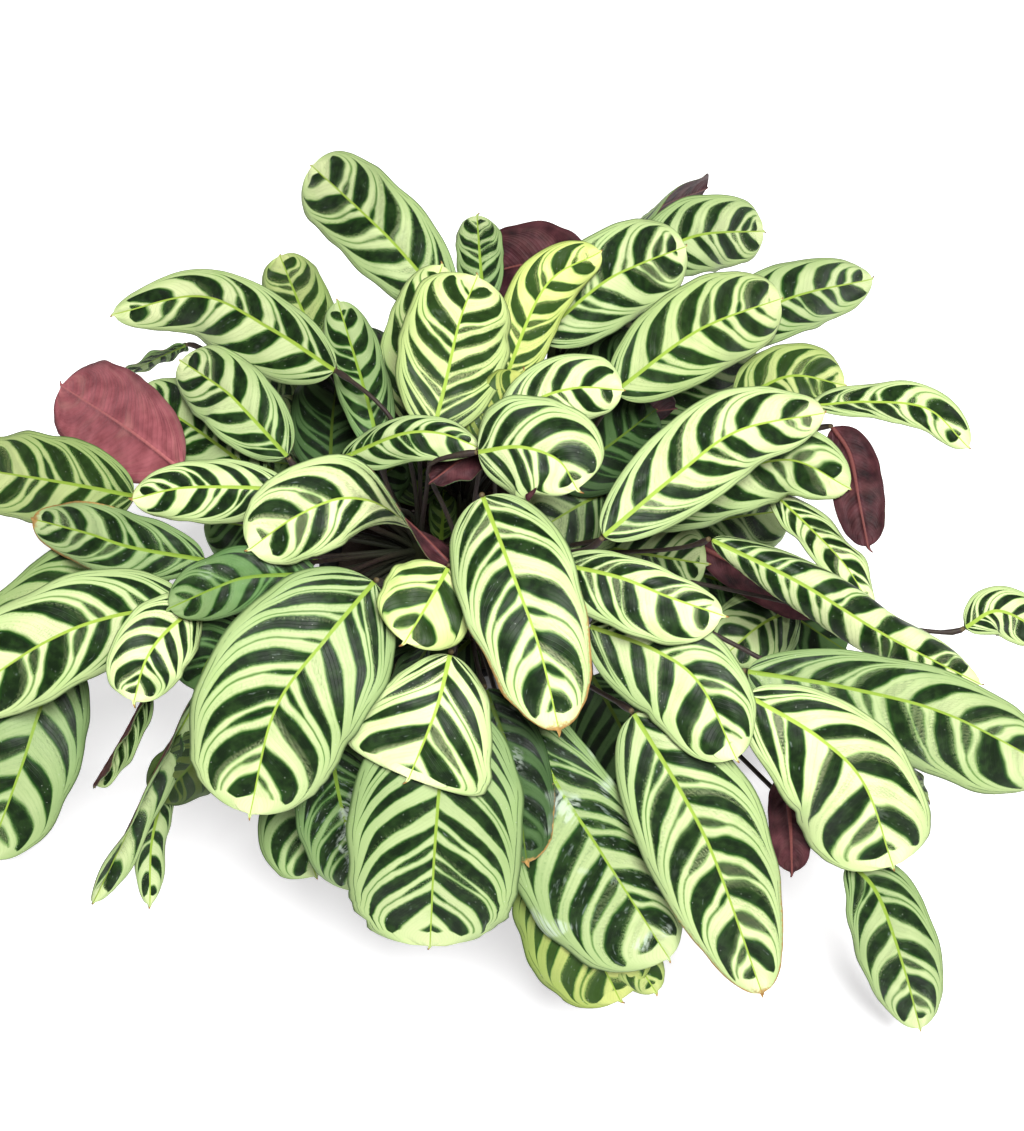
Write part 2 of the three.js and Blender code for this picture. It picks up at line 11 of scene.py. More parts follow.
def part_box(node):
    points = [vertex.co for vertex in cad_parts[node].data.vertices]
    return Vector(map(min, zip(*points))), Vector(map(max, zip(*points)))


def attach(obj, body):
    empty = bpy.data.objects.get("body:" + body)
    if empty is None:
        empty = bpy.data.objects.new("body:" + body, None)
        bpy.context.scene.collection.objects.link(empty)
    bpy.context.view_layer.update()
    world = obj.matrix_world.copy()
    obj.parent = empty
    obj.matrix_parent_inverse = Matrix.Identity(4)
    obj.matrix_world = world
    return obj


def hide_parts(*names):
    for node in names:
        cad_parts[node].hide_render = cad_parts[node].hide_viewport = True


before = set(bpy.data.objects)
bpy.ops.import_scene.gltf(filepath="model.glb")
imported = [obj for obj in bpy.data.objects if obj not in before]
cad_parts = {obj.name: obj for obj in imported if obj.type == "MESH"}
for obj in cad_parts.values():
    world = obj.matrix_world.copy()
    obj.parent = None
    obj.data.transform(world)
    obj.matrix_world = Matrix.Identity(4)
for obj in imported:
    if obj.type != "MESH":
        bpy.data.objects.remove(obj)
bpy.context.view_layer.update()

# A fishbone prayer plant in its nursery pot. Metres, +Z up, with the origin under the middle of
# the pot. Sizes that are easier to read in millimetres are multiplied by MM.
MM = 0.001


# Camera: it looks down at the plant from the front, as the photograph does. The leaves are
# placed along its lines of sight, so it comes first.
PHOTO_WIDTH = 1024
PHOTO_HEIGHT = 1131
PHOTO_FOCAL = 1562
SENSOR = 36
VIEW_ELEVATION = math.radians(55)
VIEW_DISTANCE = 850 * MM
VIEW_AIM = np.array((26, 0, 118)) * MM

rightward = np.array((1, 0, 0))
forward = np.array((0, math.cos(VIEW_ELEVATION), -math.sin(VIEW_ELEVATION)))
upward = np.array((0, math.sin(VIEW_ELEVATION), math.cos(VIEW_ELEVATION)))
viewer = VIEW_AIM - forward * VIEW_DISTANCE

camera = bpy.data.objects.new("camera", bpy.data.cameras.new("camera"))
camera.data.sensor_width = SENSOR
camera.data.lens = SENSOR * PHOTO_FOCAL / PHOTO_HEIGHT
camera.location = viewer
camera.rotation_euler = (math.pi / 2 - VIEW_ELEVATION, 0, 0)
bpy.context.scene.collection.objects.link(camera)
bpy.context.scene.camera = camera


# Pot: a nursery pot, moulded in one from thin dark plastic, with its rim turned down outside and
# drain holes round the foot. Its surface is faintly pebbled and scuffed.
POT_HEIGHT = 130 * MM
POT_RIM_RADIUS = 78 * MM
POT_FOOT_RADIUS = 54 * MM
POT_WALL = 2.2 * MM
RIM_OVERHANG = 3.5 * MM
RIM_DEPTH = 14 * MM
HOLE_COUNT = 8
HOLE_STEPS = 4
STEPS_PER_HOLE = 18
HOLE_HEIGHT = 6 * MM
HOLE_INNER_RADIUS = 47 * MM
FOOT_CORNER = 2.6 * MM
LIP_ROUND = 1.2 * MM
LIP_DROP = 0.8 * MM
LIP_DRAFT = 1.2 * MM


class Socket:
    """A socket of a material's nodes. Sums, products and comparisons on it add Math nodes."""

    def __init__(self, tree, socket=None):
        self.tree = tree
        self.socket = socket

    def node(self, kind, settings=None, inputs=None, output=0):
        """Any other node: its settings first, then the value or the link of each socket."""
        made = self.tree.nodes.new("ShaderNode" + kind)
        for name, value in (settings or {}).items():
            setattr(made, name, value)
        for name, value in (inputs or {}).items():
            if isinstance(value, Socket):
                self.tree.links.new(value.socket, made.inputs[name])
            else:
                made.inputs[name].default_value = value
        return Socket(self.tree, made.outputs[output] if made.outputs else None)

    def math(self, operation, *others):
        return self.node("Math", {"operation": operation}, dict(enumerate((self, *others))))

    def __add__(self, other):
        return self.math("ADD", other)

    def __sub__(self, other):
        return self.math("SUBTRACT", other)

    def __rsub__(self, other):
        return self.node("Math", {"operation": "SUBTRACT"}, {0: other, 1: self})

    def __mul__(self, other):
        return self.math("MULTIPLY", other)

    def __truediv__(self, other):
        return self.math("DIVIDE", other)

    def __gt__(self, other):
        return self.math("GREATER_THAN", other)

    def __abs__(self):
        return self.math("ABSOLUTE")

    __radd__ = __add__
    __rmul__ = __mul__


def linear(red, green, blue):
    """A colour given as it shows on a screen, from 0 to 255."""
    shares = [value / 255 for value in (red, green, blue)]
    return (*[((c + 0.055) / 1.055) ** 2.4 if c > 0.04 else c / 12.92 for c in shares], 1)


def fade(value, low, high):
    """0 up to low, 1 beyond high, and a soft step between them."""
    return value.node(
        "MapRange", {"interpolation_type": "SMOOTHSTEP"},
        {"Value": value, "From Min": low, "From Max": high},
    )


def tint(share, first, second):
    """The first colour where share is 0, the second where it is 1."""
    return share.node("Mix", {"data_type": "RGBA"}, {0: share, 6: first, 7: second}, output=2)


def grain(place, size, detail=2):
    """Soft random blotches about so many metres across, from 0 to 1."""
    return place.node(
        "TexNoise", {}, {"Vector": place, "Scale": 1 / size, "Detail": detail}
    )


def bumps(height, strength, depth):
    """Relief for a shader's Normal, up to so many metres deep where height is 1."""
    return height.node("Bump", {}, {"Strength": strength, "Distance": depth, "Height": height})


def along_axis(place, axis):
    return place.node("SeparateXYZ", {}, {0: place}, output=axis)


def finish(name, paint):
    """A material: paint takes the place on the piece and gives what feeds the shader."""
    material = bpy.data.materials.new(name)
    material.use_nodes = True
    material.node_tree.nodes.clear()
    start = Socket(material.node_tree)
    place = start.node("TexCoord", output=3)
    shader = start.node("BsdfPrincipled", {}, paint(place))
    start.node("OutputMaterial", {}, {"Surface": shader})
    return material


def shown(name, mesh, materials):
    """An object that shows a finished mesh, with its materials."""
    data = bpy.data.meshes.new(name)
    mesh.to_mesh(data)
    mesh.free()
    made = bpy.data.objects.new(name, data)
    bpy.context.scene.collection.objects.link(made)
    for material in materials:
        data.materials.append(material)
    return made


def piece(name, mesh, materials, nodes=()):
    """A finished piece of the plant: it rides on the plant and stands for its CAD nodes."""
    made = shown(name, mesh, materials)
    made.data.polygons.foreach_set("use_smooth", [True] * len(made.data.polygons))
    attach(made, "root")
    if nodes:
        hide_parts(*nodes)
    return made


def paint_plastic(place):
    pebbles = grain(place, 0.5 * MM, 1)
    scuffs = fade(grain(place, 9 * MM, 5), 0.56, 0.74)
    dust = fade(along_axis(place, 2), 30 * MM, 0) * 0.5
    colour = tint(scuffs * 0.35, linear(30, 32, 33), linear(74, 76, 76))
    return {
        "Base Color": tint(dust, colour, linear(92, 84, 72)),
        "Roughness": 0.42 + scuffs * 0.25 + pebbles * 0.1,
        "Normal": bumps(pebbles, 0.25, 0.1 * MM),
    }


def pot_radius(height):
    return POT_FOOT_RADIUS + (POT_RIM_RADIUS - RIM_OVERHANG - POT_FOOT_RADIUS) * height / POT_HEIGHT


def spun(profile, steps):
    """A mesh spun round the upright axis from (radius, height) points."""
    mesh = bmesh.new()
    points = [mesh.verts.new((radius, 0, height)) for radius, height in profile]
    edges = [mesh.edges.new(pair) for pair in zip(points, points[1:])]
    bmesh.ops.spin(
        mesh, geom=points + edges, axis=(0, 0, 1), cent=(0, 0, 0), angle=2 * math.pi,
        steps=steps, use_merge=True,
    )
    bmesh.ops.remove_doubles(mesh, verts=mesh.verts, dist=0.01 * MM)
    bmesh.ops.recalc_face_normals(mesh, faces=mesh.faces)
    return mesh


def pot_mesh():
    """The middle of the pot's wall, from the floor's centre over the rim to the lip's lower edge."""
    half = POT_WALL / 2
    foot = [(0, half), (20 * MM, half), (HOLE_INNER_RADIUS, half)]
    foot += [(POT_FOOT_RADIUS - FOOT_CORNER, half), (pot_radius(2 * MM) - half, 2.2 * MM)]
    heights = [HOLE_HEIGHT, 25 * MM, 50 * MM, 75 * MM, 100 * MM, 126 * MM]
    wall = [(pot_radius(height) - half, height) for height in heights]
    inner = pot_radius(POT_HEIGHT) - half
    outer = POT_RIM_RADIUS - half
    top = POT_HEIGHT - half
    rim = [(inner + 0.3 * MM, top - LIP_DROP), (inner + LIP_ROUND, top)]
    rim += [(outer - LIP_ROUND, top), (outer - 0.2 * MM, top - LIP_DROP)]
    rim += [(outer - 0.4 * MM, 122 * MM), (outer - LIP_DRAFT, POT_HEIGHT - RIM_DEPTH + 0.1 * MM)]
    mesh = spun(foot + wall + rim, HOLE_COUNT * STEPS_PER_HOLE)
    spacing = 2 * math.pi / HOLE_COUNT
    half_hole = HOLE_STEPS / 2 / STEPS_PER_HOLE * spacing
    open_faces = []
    for face in mesh.faces:
        middle = face.calc_center_median()
        turn = math.atan2(middle.y, middle.x) % spacing
        in_band = HOLE_INNER_RADIUS < math.hypot(middle.x, middle.y) and middle.z < HOLE_HEIGHT
        if in_band and abs(turn - spacing / 2) < half_hole:
            open_faces.append(face)
    bmesh.ops.delete(mesh, geom=open_faces, context="FACES")
    return mesh


plastic = finish("pot_plastic", paint_plastic)
pot = piece("nursery_pot", pot_mesh(), [plastic], ["pot"])
wall = pot.modifiers.new("wall", "SOLIDIFY")
wall.thickness = POT_WALL
wall.offset = 0
wall.use_even_offset = True
edge = pot.modifiers.new("edge", "BEVEL")
edge.width = 0.35 * MM
edge.segments = 2
edge.limit_method = "ANGLE"
edge.angle_limit = math.radians(50)


# Potting mix: peaty compost that fills the pot to a finger under the rim, loose and lumpy on top,
# with bits of bark and white perlite lying in it.
SOIL_TOP = 118 * MM
SOIL_FLAT_RADIUS = 46 * MM
SOIL_EDGE_DROP = 4 * MM
SOIL_FLOOR = 3.3 * MM
SOIL_WALL_GAP = 2.5 * MM
CLOD_SIZE = 7 * MM
CLOD_HEIGHT = 1.6 * MM
SOIL_STEPS = 96
CRUMB_REACH = 67 * MM
BARK_COUNT = 150
BARK_SIZE = 5.5 * MM
PERLITE_COUNT = 130
PERLITE_SIZE = 2 * MM


def paint_compost(place):
    fibres = grain(place, 1.2 * MM, 6)
    damp = grain(place, 22 * MM, 2)
    colour = tint(fibres, linear(14, 10, 7), linear(60, 45, 31))
    return {
        "Base Color": tint(damp * 0.5, colour, linear(40, 29, 20)),
        "Roughness": 0.98 - damp * 0.3,
        "Normal": bumps(fibres, 0.9, 0.8 * MM),
    }


def paint_bark(place):
    layers = grain(place, 2.5 * MM, 5)
    return {
        "Base Color": tint(layers, linear(30, 19, 12), linear(92, 66, 43)),
        "Roughness": 0.75 + layers * 0.2,
        "Normal": bumps(layers, 0.8, 0.5 * MM),
    }


def paint_perlite(place):
    pores = grain(place, 0.8 * MM, 3)
    return {
        "Base Color": tint(pores, linear(170, 166, 156), linear(238, 236, 230)),
        "Roughness": 0.85 + pores * 0.1,
        "Normal": bumps(pores, 0.7, 0.3 * MM),
    }


def soil_height(x, y):
    """The top of the mix: level in the middle, lower at the wall, and lumpy."""
    reach = math.hypot(x, y)
    sink = max(0, reach - SOIL_FLAT_RADIUS) / (pot_radius(SOIL_TOP) - SOIL_FLAT_RADIUS)
    coarse = noise.noise(Vector((x, y, 0)) / CLOD_SIZE)
    lumps = coarse + 0.5 * noise.noise(Vector((x, y, 1)) / CLOD_SIZE * 2.7)
    return SOIL_TOP - SOIL_EDGE_DROP * sink + CLOD_HEIGHT * (lumps - 0.9) * 0.6


def soil_mesh():
    edge_height = SOIL_TOP - SOIL_EDGE_DROP
    edge_radius = pot_radius(edge_height) - SOIL_WALL_GAP
    profile = [(0, SOIL_FLOOR), (pot_radius(SOIL_FLOOR) - SOIL_WALL_GAP, SOIL_FLOOR)]
    profile += [(pot_radius(60 * MM) - SOIL_WALL_GAP, 60 * MM), (edge_radius, edge_height - 1 * MM)]
    profile += [(radius * MM, SOIL_TOP) for radius in range(68, -1, -2)]
    mesh = spun(profile, SOIL_STEPS)
    for vert in mesh.verts:
        if vert.co.z == SOIL_TOP:
            vert.co.z = soil_height(vert.co.x, vert.co.y)
    return mesh


def join(whole, mesh):
    """Puts one mesh into another that holds several."""
    part = bpy.data.meshes.new("part")
    mesh.to_mesh(part)
    mesh.free()
    whole.from_mesh(part)
    bpy.data.meshes.remove(part)


def scattered(count, size, flatness, chance):
    """Crumbs that lie in the top of the mix: rough little lumps, each turned its own way."""
    mesh = bmesh.new()
    for _ in range(count):
        crumb = bmesh.new()
        bmesh.ops.create_icosphere(crumb, subdivisions=1, radius=1)
        across = size * chance.uniform(0.5, 1)
        shape = Vector((across, across * chance.uniform(0.4, 0.8), across * flatness))
        turn = chance.uniform(0, 2 * math.pi)
        reach = math.sqrt(chance.random()) * CRUMB_REACH
        x = reach * math.cos(turn)
        y = reach * math.sin(turn)
        lie = Euler((chance.uniform(-0.5, 0.5), chance.uniform(-0.5, 0.5), turn * 7)).to_matrix()
        for vert in crumb.verts:
            vert.co = lie @ (vert.co * shape * chance.uniform(0.8, 1.15))
        bmesh.ops.translate(crumb, verts=crumb.verts, vec=(x, y, soil_height(x, y) + shape.z * 0.3))
        join(mesh, crumb)
    return mesh


compost = finish("potting_compost", paint_compost)
bark = finish("bark", paint_bark)
perlite = finish("perlite", paint_perlite)
piece("potting_mix", soil_mesh(), [compost], ["soil"])
bark_bits = scattered(BARK_COUNT, BARK_SIZE, 0.35, random.Random("bark"))
piece("bark_bits", bark_bits, [bark])
perlite_grains = scattered(PERLITE_COUNT, PERLITE_SIZE, 0.7, random.Random("perlite"))
piece("perlite_grains", perlite_grains, [perlite])


# Leaves: where each one is. A leaf is named, with its full width in millimetres and its midrib
# from base to tip through points (x, y, h, roll): x and y in the photograph's pixels, height in
# millimetres over the low dome that the canopy makes, and roll in degrees, left out where the
# upper face is to the viewer. The leaves are listed in the order they lie, the hindmost first.
DOME_TOP = 240 * MM
DOME_DROP = 80 * MM
DOME_RADIUS = 250 * MM
DOME_BACK_STRETCH = 0.5
DOME_PASSES = 40
BLADE_THICKNESS = 0.8 * MM
BLADE_END_HALF_WIDTH = 1.1 * MM
WAVE_COUNT = 2.5
CAD_ROWS = 8
CAD_STRIPS = 4
ARC_STEPS = 200
HEADING_STEP = 1e-4

# What a leaf is unless its entry says otherwise. fold and curl bend each half at the midrib and
# beside it, in degrees, skew moves the midrib to one side, wave is the edge's ripple in
# millimetres, widest, base and tip give the outline. Then come, in this order, how pale the ground
# is and how brightly it is painted lit, with painted shade below 0; yellow, how yellow the ground
# is; bands, how many long bands each half has; brown, how scorched the margin is; how much painted
# highlight streaks and painted sheen lie on the bands; ragged, how torn the tip is; and how far the
# underside is painted lit rather than in shade.
# finer holds what the finished outline has that the CAD's plainer blade hasn't. A tucked leaf is
# under the leaf it names, and least is how little it may be pushed away to get there.
USUAL_LEAF = dict(
    fold=8, curl=-18, skew=0, wave=1.2, widest=0.46, base=2.2, tip=3,
    tone=0.5, yellow=0, bands=5, brown=0, gloss=0.1, ragged=0.25,
    blush=0.12, finer={}, least=1,
)


def leaf(name, width, midrib, **own):
    return {**USUAL_LEAF, "name": name, "width": width, "midrib": midrib, **own}


LEAVES = [
    leaf("leaf_back_06", 46, [(590, 278, -26, 180), (535, 264, -30, 180), (484, 274, -42, 180)],
         tone=0.1),
    leaf("leaf_back_07", 26, [(484, 306, -22), (480, 258, -14), (477, 216, -18)], tone=0.4),
    leaf("leaf_back_01", 42, [(604, 268, -34, 55), (650, 212, -22, 92), (706, 188, -26, 130)],
         tone=0.45),
    leaf("leaf_back_02", 43, [(640, 266, -14), (695, 236, -4), (763, 231, -14)], tone=0.6),
    leaf("leaf_back_03", 42, [(700, 350, -24, 10), (785, 300, -14, 10), (872, 279, -18, 0)],
         tip=1.8, tone=0.6),
    leaf("leaf_right_01", 36, [(735, 402, -30), (790, 376, -26), (844, 385, -30)],
         tone=0.6, yellow=0.5, bands=4),
    leaf("leaf_back_04", 50, [(538, 338, -14), (600, 285, -6), (640, 264, -4), (685, 247, -8)],
         tone=0.7),
    leaf("leaf_back_05", 50, [(615, 392, -10), (680, 342, 0), (720, 320, 2), (780, 299, -4)],
         tone=0.7, yellow=0.15),
    leaf("leaf_back_08", 48, [(452, 312, -26), (400, 250, -10), (362, 212, -4), (312, 166, -8)],
         tip=4, tone=0.65),
    leaf("leaf_back_09", 34, [(418, 428, -22), (414, 350, -12), (442, 266, -14)],
         tone=0.7, yellow=0.2, bands=4),
    leaf("leaf_back_10", 32, [(500, 392, -4), (545, 287, 8), (600, 252, 12)],
         tone=0.9, yellow=0.75, bands=6),
    leaf("leaf_centre_01", 54, [(433, 432, -2), (445, 385, 8), (460, 320, 12), (477, 277, 10)],
         tone=0.85, yellow=0.3, bands=6),
    leaf("leaf_left_01", 27, [(380, 455, -14), (366, 395, -4), (338, 302, -4)], tone=0.3, bands=6),
    leaf("leaf_left_02", 52, [(182, 470, -14, 200), (130, 430, -4, 190), (62, 386, -4, 180)],
         tone=0.9, blush=0.85),
    leaf("leaf_left_03", 42, [(335, 370, 6), (270, 328, 6), (200, 296, 6), (114, 314, 2)],
         skew=0.2, tip=2, tone=0.8, finer=dict(tip=1.4, widest=0.4)),
    leaf("leaf_left_04", 38, [(287, 456, -8), (240, 405, 2), (220, 387, 3), (181, 361, 0)],
         tone=0.65),
    leaf("leaf_left_05", 47, [(134, 496, -12), (60, 482, 0), (-30, 468, 12)],
         tone=0.55, yellow=0.3),
    leaf("leaf_left_06", 44, [(175, 560, -24), (105, 570, -24), (50, 606, -20), (-20, 660, -14)],
         tone=0.35, yellow=0.15, bands=6),
    leaf("leaf_left_07", 33, [(204, 560, -20), (130, 547, -6), (90, 534, 0), (33, 519, 2)],
         tone=0.4, brown=0.9, finer=dict(tip=1.8)),
    leaf("leaf_left_08", 31, [(288, 490, -6), (240, 487, 0), (180, 488, 6), (133, 499, 8)],
         skew=0.15, tone=0.9, brown=0.4, finer=dict(tip=2)),
    leaf("leaf_left_09", 52, [(62, 650, -26), (38, 715, -22), (22, 765, -22), (-12, 858, -30)],
         tone=0.35),
    leaf("leaf_left_10", 50, [(188, 606, -10), (110, 617, -2), (40, 645, 6), (-50, 706, 10)],
         tone=0.85),
    leaf("leaf_left_11", 20, [(150, 690, -20, 30), (125, 735, -28, 30), (95, 784, -40, 40)],
         fold=65, curl=0),
    leaf("leaf_left_12", 36, [(196, 606, -16), (164, 634, -4), (145, 662, 0), (134, 701, -8)],
         tone=1),
    leaf("leaf_left_13", 30, [(316, 574, -12), (250, 577, -4), (215, 588, 0), (170, 608, 0)],
         tone=0.05, gloss=0.3),
    leaf("leaf_front_01", 16, [(170, 770, -62, 20), (152, 840, -78, 20), (150, 904, -92, 20)]),
    leaf("leaf_front_02", 22, [(205, 684, -24, 30), (160, 765, -44, 60), (94, 901, -76, 30)],
         fold=40),
    leaf("leaf_front_03", 44, [(330, 745, -30), (340, 800, -42), (352, 845, -54), (362, 890, -70)],
         tone=0.2, gloss=1),
    leaf("leaf_front_04", 60, [(545, 850, -50), (580, 920, -60), (620, 1000, -80)],
         tone=0.4, yellow=0.8),
    leaf("leaf_front_05", 66, [(528, 700, -22), (550, 770, -28), (600, 850, -40), (669, 958, -64)],
         skew=-0.3, tone=0.45, bands=7, gloss=0.9),
    leaf("leaf_front_06", 34, [(486, 690, -22), (512, 765, -26), (527, 862, -38)],
         tone=-0.5, gloss=1, brown=0.6),
    leaf("leaf_front_07", 78, [(448, 700, -12), (440, 780, -18), (434, 860, -32), (430, 946, -60)],
         tip=5, bands=8, ragged=1),
    leaf("leaf_centre_02", 34, [(500, 452, -6), (530, 405, 4), (575, 388, 2), (622, 390, -2)],
         tone=0.85, finer=dict(base=1.2, widest=0.6)),
    leaf("leaf_centre_03", 22, [(343, 457, -8), (400, 434, 4), (440, 433, 6), (478, 447, 4)],
         skew=-0.3, tone=0.65),
    leaf("leaf_centre_04", 50, [(478, 452, 6), (528, 426, 12), (552, 446, 12), (577, 489, 4)],
         tone=0.85, bands=3.5,
         finer=dict(midrib=[(478, 452, 6), (520, 447, 12), (558, 460, 12), (577, 489, 4)])),
    leaf("leaf_right_02", 26,
         [(812, 406, -6, 50), (870, 402, 0, 40), (928, 409, 4, 10), (968, 447, 3, 0)],
         tone=0.95, bands=4),
    leaf("leaf_right_03", 27,
         [(833, 428, -16, 180), (850, 455, -16, 180), (860, 505, -22, 180), (868, 546, -30, 180)],
         tone=0.1),
    leaf("leaf_right_04", 30,
         [(770, 490, -42, 50), (812, 530, -34, 50), (845, 565, -22, 50), (871, 606, -20, 50)],
         tone=0.95),
    leaf("leaf_right_05", 42, [(640, 520, -18), (720, 478, -16), (790, 460, -18), (849, 488, -20)],
         tone=0.68, ragged=0.5),
    leaf("leaf_right_06", 43, [(604, 536, -2), (680, 472, 8), (740, 430, 10), (824, 413, 8)],
         tip=2.4, tone=0.9, bands=6, brown=0.3, finer=dict(tip=1.9)),
    leaf("leaf_right_07", 40, [(712, 540, -14), (800, 583, -6), (885, 635, -2), (980, 684, -2)],
         curl=-125, tone=0.85, bands=8),
    leaf("leaf_right_08", 26, [(966, 627, 0), (1000, 611, 8), (1050, 636, 8)], tone=1),
    leaf("leaf_right_09", 20, [(784, 775, -36, 180), (790, 820, -46, 180), (792, 872, -56, 180)],
         tone=0.1),
    leaf("leaf_right_10", 40, [(850, 862, -46), (878, 895, -44), (903, 965, -52), (920, 1028, -68)],
         tone=0.55, finer=dict(tip=2)),
    leaf("leaf_right_11", 62, [(748, 671, -8), (850, 688, 4), (950, 715, 8), (1055, 770, 8)],
         tone=0.55, bands=6, finer=dict(width=50, skew=-0.24)),
    leaf("leaf_front_08", 58, [(634, 714, -12), (680, 790, -16), (715, 860, -24), (762, 993, -54)],
         tone=0.75, bands=6, brown=0.6, finer=dict(tip=1.5, widest=0.42)),
    leaf("leaf_right_12", 56, [(748, 695, -4), (820, 738, 2), (865, 785, -6), (893, 866, -26)],
         skew=-0.2, widest=0.6, tone=1.15, bands=4.5, finer=dict(width=60, widest=0.68, tip=3.2)),
    leaf("leaf_right_13", 48, [(590, 626, -14), (655, 650, -6), (700, 684, -2), (736, 758, -6)],
         skew=-0.15, tone=0.75),
    leaf("leaf_right_14", 34, [(560, 563, -2), (620, 577, 8), (670, 597, 10), (722, 615, 10)],
         skew=-0.35, tone=0.9),
    leaf("leaf_front_09", 62, [(450, 655, -8), (436, 710, -6), (409, 778, -16)],
         tip=4, base=1.3, widest=0.72, tone=1.1, bands=3.4,
         finer=dict(widest=0.8, tip=5, base=1.2, width=68)),
    leaf("leaf_left_15", 43,
         [(457, 572, -8, 130), (393, 512, 2, 75), (345, 498, 6, 15), (295, 517, 6, 0), (250, 549, 0, 0)],
         base=1.2, widest=0.62, tone=1.1, bands=6.5, ragged=0.6),
    leaf("leaf_left_14", 73, [(374, 582, -2), (325, 640, 6), (275, 710, 2), (250, 814, -20)],
         tone=0.65, bands=6.5, ragged=0.5),
    leaf("leaf_front_10", 44, [(448, 568, 0), (430, 600, 4), (405, 642, -2)],
         tone=1, yellow=0.4, bands=2),
    leaf("leaf_centre_05", 55, [(483, 497, 4), (515, 580, 12), (540, 650, 10), (559, 730, -2)],
         tip=4, tone=0.9, brown=0.7, ragged=0.5, finer=dict(tip=2, widest=0.4)),
]


